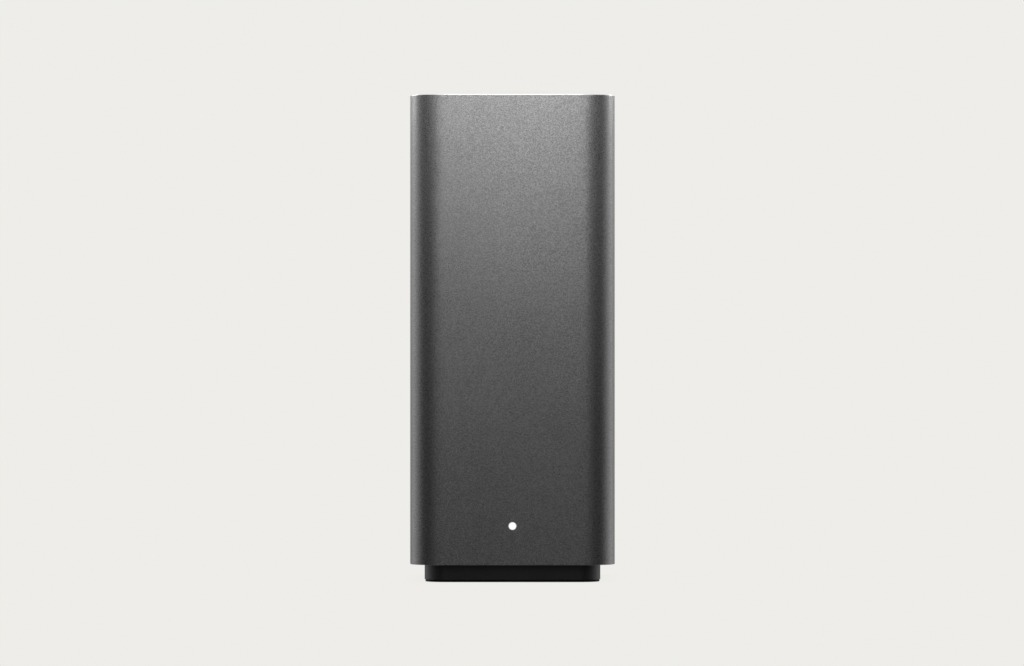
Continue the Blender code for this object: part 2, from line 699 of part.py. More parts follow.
def top_cap(plastic):
    edge = RIM_WALL + GAP
    outline = rounded(WIDTH - 2 * edge, DEPTH - 2 * edge, CORNER_RADIUS - edge)
    cap = prism("top_cap", [outline, *slot_outlines()], CAP_BOTTOM, CAP_BOTTOM + CAP_THICK, plastic)
    for direction, half in sides():
        face = half - HOOK_INSET
        arm = facing(direction, face - HOOK_THICK, face, HOOK_WIDTH / 2)
        nub = facing(direction, face - BITE, face + NUB_OUT, HOOK_WIDTH / 2 - NUB_SIDE)
        join(cap, tool([arm], HOOK_BOTTOM, CAP_BOTTOM + BITE))
        join(cap, tool([nub], NUB_BOTTOM, NUB_BOTTOM + NUB_HEIGHT))


def vent_screen(metal):
    """Slotted plate caught between the cap and the antenna frame, notched for the cap's hooks."""
    outline = rounded(ANTENNA_FRAME_WIDTH, ANTENNA_FRAME_DEPTH, ANTENNA_FRAME_RADIUS)
    screen = prism("vent_screen", [outline, *slot_outlines()], SCREEN_BOTTOM, SCREEN_TOP, metal)
    for direction, half in sides():
        inner = half - HOOK_INSET - HOOK_THICK - GAP
        notch = facing(direction, inner, half + PAST, HOOK_WIDTH / 2 + GAP)
        cut(screen, tool([notch], SCREEN_BOTTOM - PAST, SCREEN_TOP + PAST))


# Antennas


def antenna_frame(plastic):
    outer = rounded(ANTENNA_FRAME_WIDTH, ANTENNA_FRAME_DEPTH, ANTENNA_FRAME_RADIUS)
    reach = 2 * (ANTENNA_FRAME_WALL + ANTENNA_FLOOR_WIDTH)
    opening = rounded(ANTENNA_FRAME_WIDTH - reach, ANTENNA_FRAME_DEPTH - reach, ANTENNA_FLOOR_RADIUS)
    frame = prism("antenna_frame", [outer, opening], ANTENNA_FRAME_BOTTOM, ANTENNA_FRAME_TOP, plastic)
    inside = rounded(
        ANTENNA_FRAME_WIDTH - 2 * ANTENNA_FRAME_WALL,
        ANTENNA_FRAME_DEPTH - 2 * ANTENNA_FRAME_WALL,
        ANTENNA_FRAME_RADIUS - ANTENNA_FRAME_WALL,
    )
    cut(frame, tool([inside], ANTENNA_FLOOR_TOP, ANTENNA_FRAME_TOP + PAST))
    for direction, half in sides():
        catch = facing(direction, half - HOOK_INSET, half + PAST, HOOK_WIDTH / 2)
        cut(frame, tool([catch], NUB_BOTTOM - GAP, NUB_BOTTOM + NUB_HEIGHT + GAP))
    for y_low, y_high in spine_tongues():
        slot = rectangle((SPINE_BACK_X - GAP, y_low - GAP), (SPINE_FACE_X + GAP, y_high + GAP))
        cut(frame, tool([slot], ANTENNA_FRAME_BOTTOM - PAST, ANTENNA_FLOOR_TOP + PAST))


def antenna_outline():
    """Plate with a slot in from one side, closed at the other."""
    half, slot = ANTENNA_WIDTH / 2, ANTENNA_SLOT_HEIGHT
    end = half - ANTENNA_SLOT_END
    return [
        (-half, 0),
        (half, 0),
        (half, ANTENNA_HEIGHT),
        (-half, ANTENNA_HEIGHT),
        (-half, slot + ANTENNA_SLOT),
        (end, slot + ANTENNA_SLOT),
        (end, slot),
        (-half, slot),
    ]


def antenna(name, direction, half, metal):
    """Radiator plate on the outside of the antenna frame."""
    axis = "X" if direction[0] else "Y"
    outward = sum(direction)
    faces = sorted((outward * (half + GAP), outward * (half + GAP + ANTENNA_THICK)))
    prism(name, [antenna_outline()], *faces, metal, axis, (0, 0, ANTENNA_BOTTOM))


def lead_connector(name, y, metal):
    profile = [(0, 0), (CONNECTOR_RADIUS, 0), (CONNECTOR_RADIUS, CONNECTOR_THICK), (0, CONNECTOR_THICK)]
    turned(name, profile, metal, (PART_X, y, CONNECTOR_Z), (1, 0, 0), steps=SCREW_STEPS)


def antenna_lead(name, direction, half, y, sheath):
    """Lead down the outside of the antenna frame, under it and down to a connector at y."""
    out = Vector((*direction, 0))
    line = half + GAP + LEAD_DIAMETER / 2
    under = ANTENNA_FRAME_BOTTOM - LEAD_DROP
    connector_x = PART_X + CONNECTOR_THICK / 2
    entry = CONNECTOR_Z + CONNECTOR_RADIUS + GAP
    inward = out * (line - LEAD_RUN) + Vector((0, 0, under - LEAD_SLACK))
    above = Vector((connector_x, y, under))
    route = [
        out * line + Vector((0, 0, ANTENNA_BOTTOM - GAP)),
        out * line + Vector((0, 0, ANTENNA_FRAME_BOTTOM)),
        out * (line - LEAD_TURN) + Vector((0, 0, under + LEAD_SLACK)),
        inward,
        (inward + above) / 2,
        above + (inward - above).normalized() * LEAD_BEND,
        above - Vector((0, 0, LEAD_BEND)),
        Vector((connector_x, y, entry)),
    ]
    lead(name, route, LEAD_DIAMETER, sheath)


def antennas(metal, sheath, plug_metal):
    first_y = BOARD_FRONT_Y + CONNECTOR_FRONT
    pitch = (BOARD_REAR_Y - CONNECTOR_REAR - first_y) / (len(sides()) - 1)
    for i, (direction, half) in enumerate(sides()):
        y = first_y + i * pitch
        antenna(f"antenna_{i + 1}", direction, half, metal)
        antenna_lead(f"antenna_lead_{i + 1}", direction, half, y, sheath)
        lead_connector(f"lead_connector_{i + 1}", y, plug_metal)


# Board, spine and cooling


def spine_tongues():
    """Where the spine's two tongues pass through the antenna frame's floor, along Y."""
    reach = -SPINE_FRONT_Y - TONGUE_INSET
    return [(-reach, -reach + TONGUE_WIDTH), (reach - TONGUE_WIDTH, reach)]


def spine_screw_spots():
    x = SPINE_BACK_X - SPINE_FOOT_REACH / 2
    return [(x, -SPINE_FOOT_DEPTH / 4), (x, SPINE_FOOT_DEPTH / 4)]


def sink_screw_spots():
    """Places in Y and Z of the screws through heat sink, board, spine and rear heat plate."""
    return [
        (y, z)
        for y in (SINK_FRONT_Y + BOSS_INSET, SINK_REAR_Y - BOSS_INSET)
        for z in (SINK_BOTTOM + BOSS_INSET, SINK_TOP - BOSS_INSET)
    ]


def board_screw_spots():
    return [
        (BOARD_FRONT_Y + BOSS_INSET, BOARD_BOTTOM + BOSS_INSET),
        (BOARD_REAR_Y - BOSS_INSET, BOARD_TOP - BOSS_INSET),
    ]


def spine_outline():
    """Side view of the spine: a plate with two tongues at the top and a dip for the leads between them."""
    dip = BOARD_TOP - SPINE_DIP
    tip = ANTENNA_FLOOR_TOP + TONGUE_ABOVE
    (front, front_in), (rear_in, rear) = spine_tongues()
    return [
        (SPINE_FRONT_Y, SPINE_BOTTOM + SPINE_LIFT),
        (BOARD_REAR_Y, SPINE_BOTTOM + SPINE_LIFT),
        (BOARD_REAR_Y, SPINE_TOP),
        (rear, SPINE_TOP),
        (rear, tip),
        (rear_in, tip),
        (rear_in, SPINE_TOP),
        (rear_in - TONGUE_SHOULDER, SPINE_TOP),
        (rear_in - TONGUE_SHOULDER, dip),
        (front_in + TONGUE_SHOULDER, dip),
        (front_in + TONGUE_SHOULDER, SPINE_TOP),
        (front_in, SPINE_TOP),
        (front_in, tip),
        (front, tip),
        (front, SPINE_TOP),
        (SPINE_FRONT_Y, SPINE_TOP),
    ]


def spine_frame(plastic):
    window = rounded(
        PEDESTAL_DEPTH + 2 * PEDESTAL_ROOM,
        PEDESTAL_HEIGHT + 2 * PEDESTAL_ROOM,
        PEDESTAL_ROOM,
        (SINK_MIDDLE_Y, SINK_MIDDLE_Z),
        CORNER_STEPS // 2,
    )
    spine = prism("spine_frame", [spine_outline(), window], SPINE_BACK_X, SPINE_FACE_X, plastic, "X")
    foot = rectangle(
        (SPINE_BACK_X - SPINE_FOOT_REACH, -SPINE_FOOT_DEPTH / 2),
        (SPINE_BACK_X + BITE, SPINE_FOOT_DEPTH / 2),
    )
    foot_top = SPINE_BOTTOM + SPINE_FOOT_THICK
    join(spine, tool([foot], SPINE_BOTTOM, foot_top))
    barb_top = ANTENNA_FLOOR_TOP + TONGUE_ABOVE - BARB_INSET
    for y_low, y_high in spine_tongues():
        barb = rectangle(
            (SPINE_FACE_X - BITE, y_low + BARB_INSET),
            (SPINE_FACE_X + BARB_OUT, y_high - BARB_INSET),
        )
        join(spine, tool([barb], ANTENNA_FLOOR_TOP + GAP, barb_top))
    spots = sink_screw_spots() + board_screw_spots()
    bosses = [circle(BOSS_RADIUS, spot, SCREW_STEPS) for spot in spots]
    join(spine, tool(bosses, SPINE_FACE_X - BITE, BOARD_BACK_X - GAP, "X"))
    holes = [screw_hole(BOARD_SCREW, spot) for spot in spots]
    cut(spine, tool(holes, SPINE_BACK_X - PAST, BOARD_BACK_X + PAST, "X"))
    foot_holes = [screw_hole(BOARD_SCREW, spot) for spot in spine_screw_spots()]
    cut(spine, tool(foot_holes, SPINE_BOTTOM - PAST, foot_top + PAST))


def spine_screws(steel):
    head_face = BASE_BOTTOM - GAP
    grip = SPINE_BOTTOM + SPINE_FOOT_THICK - head_face
    for i, (x, y) in enumerate(spine_screw_spots(), 1):
        screw(f"spine_screw_{i}", BOARD_SCREW, grip, (x, y, head_face), (0, 0, 1), steel)


def main_board(laminate):
    outline = rectangle((BOARD_FRONT_Y, BOARD_BOTTOM), (BOARD_REAR_Y, BOARD_TOP))
    holes = [screw_hole(BOARD_SCREW, spot) for spot in sink_screw_spots() + board_screw_spots()]
    prism("main_board", [outline, *holes], BOARD_BACK_X, BOARD_FACE_X, laminate, "X")


def board_screws(steel):
    grip = PART_X - SPINE_BACK_X
    for i, (y, z) in enumerate(board_screw_spots(), 1):
        screw(f"board_screw_{i}", BOARD_SCREW, grip, (PART_X, y, z), (-1, 0, 0), steel)


def heat_sink(metal):
    low, high = (SINK_BASE_X, SINK_FRONT_Y), (SINK_FACE_X, SINK_REAR_Y)
    outline = comb(low, high, SINK_FACE_X + SINK_FIN_HEIGHT, FIN_THICK, SINK_FINS, SINK_FLANGE)
    sink = prism("heat_sink", [outline], SINK_BOTTOM, SINK_TOP, metal)
    for spot in sink_screw_spots():
        cut(sink, tool([screw_hole(BOARD_SCREW, spot)], SINK_BASE_X - PAST, SINK_FACE_X + PAST, "X"))


def heat_sink_screws(steel):
    start = SINK_FACE_X + GAP
    for i, (y, z) in enumerate(sink_screw_spots(), 1):
        screw(f"heat_sink_screw_{i}", BOARD_SCREW, start - PLATE_BACK_X, (start, y, z), (-1, 0, 0), steel)


def rear_heat_plate(metal):
    """Finned plate on the spine's back, with a pedestal through the spine to the back of the board."""
    low, high = (PLATE_FACE_X, SINK_FRONT_Y), (PLATE_BACK_X, SINK_REAR_Y)
    outline = comb(low, high, PLATE_BACK_X - PLATE_FIN_HEIGHT, FIN_THICK, PLATE_FINS, SINK_FLANGE)
    plate = prism("rear_heat_plate", [outline], SINK_BOTTOM, SINK_TOP, metal)
    pedestal = rectangle(
        (SINK_MIDDLE_Y - PEDESTAL_DEPTH / 2, SINK_MIDDLE_Z - PEDESTAL_HEIGHT / 2),
        (SINK_MIDDLE_Y + PEDESTAL_DEPTH / 2, SINK_MIDDLE_Z + PEDESTAL_HEIGHT / 2),
    )
    join(plate, tool([pedestal], PLATE_FACE_X - BITE, BOARD_BACK_X - GAP, "X"))
    for spot in sink_screw_spots():
        cut(plate, tool([screw_hole(BOARD_SCREW, spot)], PLATE_BACK_X - PAST, PLATE_FACE_X + PAST, "X"))


def radio_shield(name, size, y, z, metal):
    """Pressed metal can over a radio, open towards the board."""
    across, up, thick = size
    can = chip(name, size, y, z, metal)
    corner = (across / 2 - SHIELD_WALL, up / 2 - SHIELD_WALL)
    hollow = rectangle((-corner[0], -corner[1]), corner)
    cut(can, tool([hollow], -PAST, thick - SHIELD_WALL, "X", (PART_X, y, z)))


def radio_shields(metal):
    """Two cans side by side between the processor and the heat sink's upper screws."""
    low = SINK_MIDDLE_Z + PROCESSOR_SIZE[1] / 2 + CHIP_SPACE
    high = SINK_TOP - 2 * BOSS_INSET - CHIP_SPACE
    across = (SINK_REAR_Y - BOARD_FRONT_Y - 3 * CHIP_SPACE) / 2
    for i in range(2):
        y = BOARD_FRONT_Y + CHIP_SPACE + across / 2 + i * (across + CHIP_SPACE)
        radio_shield(f"radio_shield_{i + 1}", (across, high - low, SHIELD_THICK), y, (low + high) / 2, metal)


def chips(epoxy, silicone):
    middle_y, middle_z = SINK_MIDDLE_Y, SINK_MIDDLE_Z
    chip("processor", PROCESSOR_SIZE, middle_y, middle_z, epoxy)
    pad_x = PART_X + PROCESSOR_SIZE[2] + GAP
    pad_size = (
        PROCESSOR_SIZE[0] - 2 * PAD_INSET,
        PROCESSOR_SIZE[1] - 2 * PAD_INSET,
        SINK_BASE_X - GAP - pad_x,
    )
    chip("thermal_pad", pad_size, middle_y, middle_z, silicone, pad_x)
    row_top = middle_z - PROCESSOR_SIZE[1] / 2 - CHIP_SPACE
    switch_y = SINK_REAR_Y - 2 * BOSS_INSET - SWITCH_CHIP_SIZE[0] / 2
    switch_z = row_top - SWITCH_CHIP_SIZE[1] / 2
    chip("network_switch_chip", SWITCH_CHIP_SIZE, switch_y, switch_z, epoxy)
    memory_y = switch_y - SWITCH_CHIP_SIZE[0] / 2 - CHIP_SPACE - MEMORY_SIZE[0] / 2
    chip("memory_chip", MEMORY_SIZE, memory_y, row_top - MEMORY_SIZE[1] / 2, epoxy)


# Socket strip


def rectangle_at(width, height, z):
    return rectangle((-width / 2, z - height / 2), (width / 2, z + height / 2))


def strip_openings():
    """Openings of the bezel in X and Z, one for each fitting."""
    return [
        circle(DC_NOSE_RADIUS + GAP, (0, PLACE["dc"])),
        rectangle_at(JACK_DEEP + 2 * GAP, JACK_TALL + 2 * GAP, PLACE["jack_1"]),
        rectangle_at(JACK_DEEP + 2 * GAP, JACK_TALL + 2 * GAP, PLACE["jack_2"]),
        circle(RESET_HOLE_RADIUS, (0, PLACE["reset"]), SCREW_STEPS),
        circle(SYNC_RADIUS + GAP, (0, PLACE["sync"])),
        rectangle_at(ROCKER_FRAME_WIDTH + 2 * GAP, 2 * (ROCKER_FRAME_HALF + GAP), PLACE["rocker"]),
    ]


def io_bezel(plastic):
    edge = 2 * BEZEL_FLANGE
    flange = rounded(IO_WIDTH + edge, IO_HEIGHT + edge, IO_RADIUS + BEZEL_FLANGE, (0, IO_MIDDLE))
    flange_front = BEZEL_BACK_Y + BEZEL_FLANGE_THICK
    bezel = prism("io_bezel", [flange], BEZEL_BACK_Y, flange_front, plastic, "Y")
    face = rounded(IO_WIDTH - 2 * GAP, IO_HEIGHT - 2 * GAP, IO_RADIUS - GAP, (0, IO_MIDDLE))
    join(bezel, tool([face], flange_front - BITE, BEZEL_FACE_Y, "Y"))
    for opening in strip_openings():
        cut(bezel, tool([opening], BEZEL_BACK_Y - PAST, BEZEL_FACE_Y + PAST, "Y"))


def plug_outline():
    """Shape of a network plug with its latch on the side away from the board."""
    low, high = PLUG_OFFSET - PLUG_DEEP / 2, PLUG_OFFSET + PLUG_DEEP / 2
    return [
        (low, -PLUG_TALL / 2),
        (high, -PLUG_TALL / 2),
        (high, -LATCH_TALL / 2),
        (high + LATCH_DEEP, -LATCH_TALL / 2),
        (high + LATCH_DEEP, LATCH_TALL / 2),
        (high, LATCH_TALL / 2),
        (high, PLUG_TALL / 2),
        (low, PLUG_TALL / 2),
    ]


def jack_contacts(name, z, metal):
    """Eight sprung contacts on a common strip, sloping in from the jack's mouth."""
    spread = (CONTACTS - 1) * CONTACT_PITCH + CONTACT_WIDTH
    half = spread / 2 + CONTACT_EDGE
    teeth = comb(
        (-CONTACT_STRIP - CONTACT_LENGTH, -half),
        (-CONTACT_LENGTH, half),
        0,
        CONTACT_WIDTH,
        CONTACTS,
        CONTACT_EDGE,
    )
    tip = FITTING_FACE_Y - PLUG_REACH + GAP + CONTACT_STRIP + CONTACT_LENGTH
    at = (PLUG_OFFSET - PLUG_DEEP / 2 + GAP, tip, z)
    contacts = prism(name, [teeth], 0, CONTACT_THICK, metal, "X", at)
    contacts.rotation_euler.z = CONTACT_SLANT


def ethernet_jack(number, metal, plastic, gold):
    """Screened eight-way jack lying on its side."""
    name = f"ethernet_jack_{number}"
    z = PLACE[f"jack_{number}"]
    at = (0, FITTING_FACE_Y, z)
    shell = prism(f"{name}_shell", [rectangle_at(JACK_DEEP, JACK_TALL, 0)], -JACK_LONG, 0, metal, "Y", at)
    inner_deep, inner_tall = JACK_DEEP - 2 * JACK_SHELL_WALL, JACK_TALL - 2 * JACK_SHELL_WALL
    back = -JACK_LONG + JACK_SHELL_WALL
    cut(shell, tool([rectangle_at(inner_deep, inner_tall, 0)], back, PAST, "Y", at))
    filling = rectangle_at(inner_deep - 2 * GAP, inner_tall - 2 * GAP, 0)
    insert = prism(f"{name}_insert", [filling], back + GAP, -GAP, plastic, "Y", at)
    cut(insert, tool([plug_outline()], -PLUG_REACH, PAST, "Y", at))
    jack_contacts(f"{name}_contacts", z, gold)


def dc_jack(plastic, metal):
    z = PLACE["dc"]
    back = BEHIND_BEZEL_Y - DC_LONG
    block = rectangle((PART_X, z - DC_TALL / 2), (DC_TALL / 2, z + DC_TALL / 2))
    jack = prism("dc_jack", [block], back, BEHIND_BEZEL_Y, plastic, "Y")
    join(jack, tool([circle(DC_NOSE_RADIUS, (0, z))], BEHIND_BEZEL_Y - BITE, FITTING_FACE_Y, "Y"))
    bore_end = FITTING_FACE_Y - DC_BORE_DEPTH
    cut(jack, tool([circle(DC_BORE_RADIUS, (0, z))], bore_end, FITTING_FACE_Y + PAST, "Y"))
    pin_hole = circle(DC_PIN_RADIUS + FIT, (0, z), SCREW_STEPS)
    cut(jack, tool([pin_hole], back - PAST, bore_end + PAST, "Y"))
    length = FITTING_FACE_Y - DC_PIN_SHORT - back
    profile = [
        (0, 0),
        (DC_PIN_RADIUS, 0),
        (DC_PIN_RADIUS, length - DC_PIN_RADIUS),
        (DC_PIN_RADIUS / 2, length),
        (0, length),
    ]
    turned("dc_jack_pin", profile, metal, (0, back, z), (0, 1, 0), SCREW_STEPS)


def stem_switch(name, tall, stem_radius, stem_tip, z, plastic, stem_plastic, slide):
    """Push switch at the board's edge, with its stem pointing at the rear wall and riding on its slide."""
    body_front = stem_tip - STEM_SHOW
    block = rectangle((PART_X, z - tall / 2), (tall / 2, z + tall / 2))
    body = prism(f"{name}_switch", [block], body_front - SWITCH_LONG, body_front, plastic, "Y")
    hole = circle(stem_radius + FIT, (0, z), SCREW_STEPS)
    cut(body, tool([hole], body_front - STEM_IN - STEM_ROOM, body_front + PAST, "Y"))
    length = STEM_SHOW + STEM_IN
    profile = [(0, 0), (stem_radius, 0), (stem_radius, length), (0, length)]
    at = (0, body_front - STEM_IN, z)
    turned(f"{name}_switch_stem", profile, stem_plastic, at, (0, 1, 0), SCREW_STEPS, slide)


def sync_button(plastic, pale):
    z = PLACE["sync"]
    back = BEHIND_BEZEL_Y - SYNC_FLANGE_THICK
    slide = place("sync_slide", None, (0, back, z))
    face = BEZEL_FACE_Y + SYNC_PROUD - back
    profile = [
        (0, 0),
        (SYNC_FLANGE_RADIUS, 0),
        (SYNC_FLANGE_RADIUS, SYNC_FLANGE_THICK),
        (SYNC_RADIUS, SYNC_FLANGE_THICK),
        (SYNC_RADIUS, face - SYNC_EDGE),
        (SYNC_RADIUS - SYNC_EDGE, face),
        (0, face),
    ]
    turned("sync_button", profile, plastic, (0, back, z), (0, 1, 0), parent=slide)
    stem_switch("sync", SYNC_SWITCH_TALL, SYNC_STEM_RADIUS, back - GAP, z, plastic, pale, slide)


def reset_button(plastic, pale):
    """Switch behind a pinhole."""
    z = PLACE["reset"]
    slide = place("reset_slide", None, (0, BEHIND_BEZEL_Y, z))
    stem_switch("reset", RESET_SWITCH_TALL, RESET_STEM_RADIUS, BEHIND_BEZEL_Y, z, plastic, pale, slide)


def power_switch_frame(plastic):
    z = PLACE["rocker"]
    half_width, half_height = ROCKER_FRAME_WIDTH / 2, ROCKER_FRAME_HALF
    block = rectangle((PART_X, z - half_height - GAP), (half_width + GAP, z + half_height + GAP))
    back = FITTING_FACE_Y - ROCKER_BOX_DEPTH
    frame = prism("power_switch_frame", [block], back, BEHIND_BEZEL_Y, plastic, "Y")
    nose = rectangle_at(ROCKER_FRAME_WIDTH, 2 * half_height, z)
    join(frame, tool([nose], BEHIND_BEZEL_Y - BITE, FITTING_FACE_Y, "Y"))
    wall = ROCKER_FRAME_WALL
    well = rectangle_at(ROCKER_FRAME_WIDTH - 2 * wall, 2 * (half_height - wall), z)
    well_floor = ROCKER_PIVOT_Y - ROCKER_HUB_RADIUS - ROCKER_HUB_ROOM
    cut(frame, tool([well], well_floor, FITTING_FACE_Y + PAST, "Y"))
    seat = circle(TRUNNION_RADIUS + FIT, (ROCKER_PIVOT_Y, z), SCREW_STEPS)
    reach = ROCKER_WIDTH / 2 + TRUNNION_OUT + GAP
    cut(frame, tool([seat], -reach, reach, "X"))


def power_rocker(plastic):
    """Dished paddle on two trunnions. It rests with its lower end pressed in."""
    at = (0, ROCKER_PIVOT_Y, PLACE["rocker"])
    pivot = place("rocker_pivot", None, at)
    side = [(ROCKER_END, ROCKER_HALF), (ROCKER_CREST, 0), (ROCKER_END, -ROCKER_HALF)]
    side += [(ROCKER_SKIRT, -ROCKER_HALF)]
    side += arc((0, 0), ROCKER_HUB_RADIUS, 270, 90, CORNER_STEPS)
    side += [(ROCKER_SKIRT, ROCKER_HALF)]
    half = ROCKER_WIDTH / 2
    rocker = prism("power_rocker", [side], -half, half, plastic, "X", at, pivot)
    trunnion = circle(TRUNNION_RADIUS, steps=SCREW_STEPS)
    pins = tool([trunnion], -half - TRUNNION_OUT, half + TRUNNION_OUT, "X", at)
    join(rocker, pins)
    pivot.rotation_euler.x = -ROCKER_TILT
    pins.rotation_euler.x = -ROCKER_TILT


# Status light


def light_guide(clear):
    """Pin in the sleeve's front wall, then a square arm that bends to the light on the board's edge."""
    front = -DEPTH / 2 + LIGHT_INSET
    flange = -DEPTH / 2 + WALL + GAP - front
    bend = flange + LIGHT_FLANGE_THICK
    profile = [
        (0, 0),
        (LIGHT_RADIUS, 0),
        (LIGHT_RADIUS, flange),
        (LIGHT_FLANGE_RADIUS, flange),
        (LIGHT_FLANGE_RADIUS, bend),
        (0, bend),
    ]
    guide = turned("light_guide", profile, clear, (0, front, LIGHT_Z), (0, 1, 0))
    low, high = LIGHT_Z - GUIDE_SIDE / 2, LIGHT_Z + GUIDE_SIDE / 2
    arm_y = front + bend - LIGHT_FLANGE_THICK / 2
    arm = rectangle((PART_X, arm_y), (GUIDE_SIDE / 2, arm_y + GUIDE_SIDE))
    leg = rectangle((PART_X, arm_y + GUIDE_SIDE - BITE), (PART_X + GUIDE_SIDE, BOARD_FRONT_Y - GAP))
    join(guide, tool([arm], low, high), tool([leg], low, high))


def status_led(plastic):
    size = (LED_THICK, LED_SIZE, LED_STAND)
    chip("status_led", size, BOARD_FRONT_Y + LED_THICK / 2, LIGHT_Z, plastic)


def build():
    for obj in list(bpy.data.objects):
        bpy.data.objects.remove(obj)
    graphite = material("graphite_shell", (0.13, 0.13, 0.13), 0.42, 0.85)
    black = material("black_plastic", (0.012, 0.012, 0.012), 0.45)
    rubber = material("foot_rubber", (0.01, 0.01, 0.01), 0.9)
    nylon = material("frame_plastic", (0.05, 0.05, 0.055), 0.6)
    steel = material("screw_steel", (0.55, 0.55, 0.56), 0.35, 1.0)
    laminate = material("board_laminate", (0.02, 0.12, 0.05), 0.5)
    aluminium = material("sink_aluminium", (0.6, 0.6, 0.61), 0.4, 1.0)
    epoxy = material("chip_epoxy", (0.02, 0.02, 0.022), 0.5)
    silicone = material("thermal_silicone", (0.3, 0.45, 0.6), 0.8)
    tin = material("tinned_steel", (0.7, 0.7, 0.68), 0.3, 1.0)
    brass = material("antenna_brass", (0.75, 0.6, 0.3), 0.35, 1.0)
    gold = material("contact_gold", (0.83, 0.62, 0.25), 0.25, 1.0)
    sheath = material("lead_sheath", (0.03, 0.03, 0.03), 0.5)
    pale = material("stem_plastic", (0.75, 0.74, 0.7), 0.5)
    clear = material("light_guide", (0.95, 0.97, 1.0), 0.1)

    outer_sleeve(graphite)
    foot_pad(rubber)
    plinth(black)
    case_screws(steel)
    base_plate(nylon)
    top_cap(black)
    vent_screen(tin)
    antenna_frame(nylon)
    antennas(brass, sheath, gold)
    spine_frame(nylon)
    spine_screws(steel)
    main_board(laminate)
    board_screws(steel)
    heat_sink(aluminium)
    heat_sink_screws(steel)
    rear_heat_plate(aluminium)
    chips(epoxy, silicone)
    radio_shields(tin)
    io_bezel(black)
    ethernet_jack(1, tin, black, gold)
    ethernet_jack(2, tin, black, gold)
    dc_jack(black, tin)
    sync_button(black, pale)
    reset_button(black, pale)
    power_switch_frame(black)
    power_rocker(black)
    light_guide(clear)
    status_led(pale)


build()
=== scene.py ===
"""Mesh wifi node: the finish and the fine detail of its case, sockets, vent and boards."""

import json
import math

import bmesh
import bpy
from bpy.props import FloatProperty, FloatVectorProperty, IntProperty, PointerProperty
from mathutils import Matrix, Vector


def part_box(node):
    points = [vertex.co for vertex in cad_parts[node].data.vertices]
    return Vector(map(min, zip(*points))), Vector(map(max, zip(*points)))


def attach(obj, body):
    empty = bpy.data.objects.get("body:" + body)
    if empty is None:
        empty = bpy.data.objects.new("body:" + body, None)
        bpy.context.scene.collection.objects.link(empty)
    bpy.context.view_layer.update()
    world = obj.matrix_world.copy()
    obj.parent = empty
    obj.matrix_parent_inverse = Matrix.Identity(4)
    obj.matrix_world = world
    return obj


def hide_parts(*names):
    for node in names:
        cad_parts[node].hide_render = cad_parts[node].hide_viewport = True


bl_info = {
    "name": "Mesh wifi node",
    "version": (1, 0, 0),
    "blender": (4, 5, 0),
    "location": "View3D > Sidebar > Wifi node",
    "description": "Builds the finish and fine detail of a tower-shaped mesh wifi node",
    "category": "Object",
}

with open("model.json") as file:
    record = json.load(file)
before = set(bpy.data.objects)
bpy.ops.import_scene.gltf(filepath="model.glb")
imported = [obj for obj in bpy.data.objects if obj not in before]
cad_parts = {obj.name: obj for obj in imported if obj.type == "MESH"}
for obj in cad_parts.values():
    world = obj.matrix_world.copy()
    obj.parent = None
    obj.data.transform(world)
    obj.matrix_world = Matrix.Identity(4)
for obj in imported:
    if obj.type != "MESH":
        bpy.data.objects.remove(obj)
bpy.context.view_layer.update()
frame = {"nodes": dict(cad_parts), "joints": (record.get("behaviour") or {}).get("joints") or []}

MM = 0.001
HOUSING = "housing"
CORNER_STEPS = 30
SMOOTH_BELOW = math.radians(32)
PAST = 3 * MM  # how far a cutter runs past what it cuts

# Sizes of the case that its fixed parts don't state as a box
CORNER_RADIUS = 10.5 * MM
WALL = 2.2 * MM
RIM_WALL = 1.2 * MM
LEDGE_DROP = 4.0 * MM
LUG_EDGE = 22.8 * MM
LUG_TOP = 23.6 * MM
LUG_DROP = 0.3 * MM  # from the base plate up to the lugs
PILOT_RADIUS = 1.45 * MM
PILOT_DEPTH = 8.3 * MM
BEZEL_FLANGE = 2.5 * MM
GUIDE_RADIUS = 1.5 * MM
WINDOW_RADIUS = 4.0 * MM
LIGHT_HOLE_ROOM = 0.06 * MM

# Top cap and vent screen
CAP_THICK = 3.1 * MM
HOOK_ROOT = 0.5 * MM
SLOT_EASE = 0.35 * MM
RIM_LAP = 0.6 * MM
RIM_RADIUS = 5.5 * MM
RIM_INNER_RADIUS = 2 * MM
RIM_EDGE = 0.08 * MM
HOOK_NOTCH = 30.3 * MM
NOTCH_HALF = 4.3 * MM

# Windows of the jacks' lights
WINDOW_IN = 1.5 * MM
WINDOW_APART = 5.3 * MM
WINDOW_HALF = (0.85 * MM, 1.3 * MM)
WINDOW_CORNER = 0.25 * MM
WINDOW_DEEP = 1.0 * MM
WINDOW_PROUD = 0.06 * MM

# The jacks' contacts
CONTACTS = 8
CONTACT_BEND = 1.2 * MM
CONTACT_FILLET = 0.25 * MM

# The rocker's bar and ring
ROCKER_LEAN = 10.0
ROCKER_CREST = 4.2 * MM
ROCKER_MARK_AT = 2.5 * MM  # from the pivot along the paddle
MARK_LINE = 0.32 * MM
MARK_BAR = 1.9 * MM
MARK_RING = 0.95 * MM
MARK_SUNK = 0.12 * MM
MARK_PROUD = 0.06 * MM
MARK_EDGE = 0.02 * MM

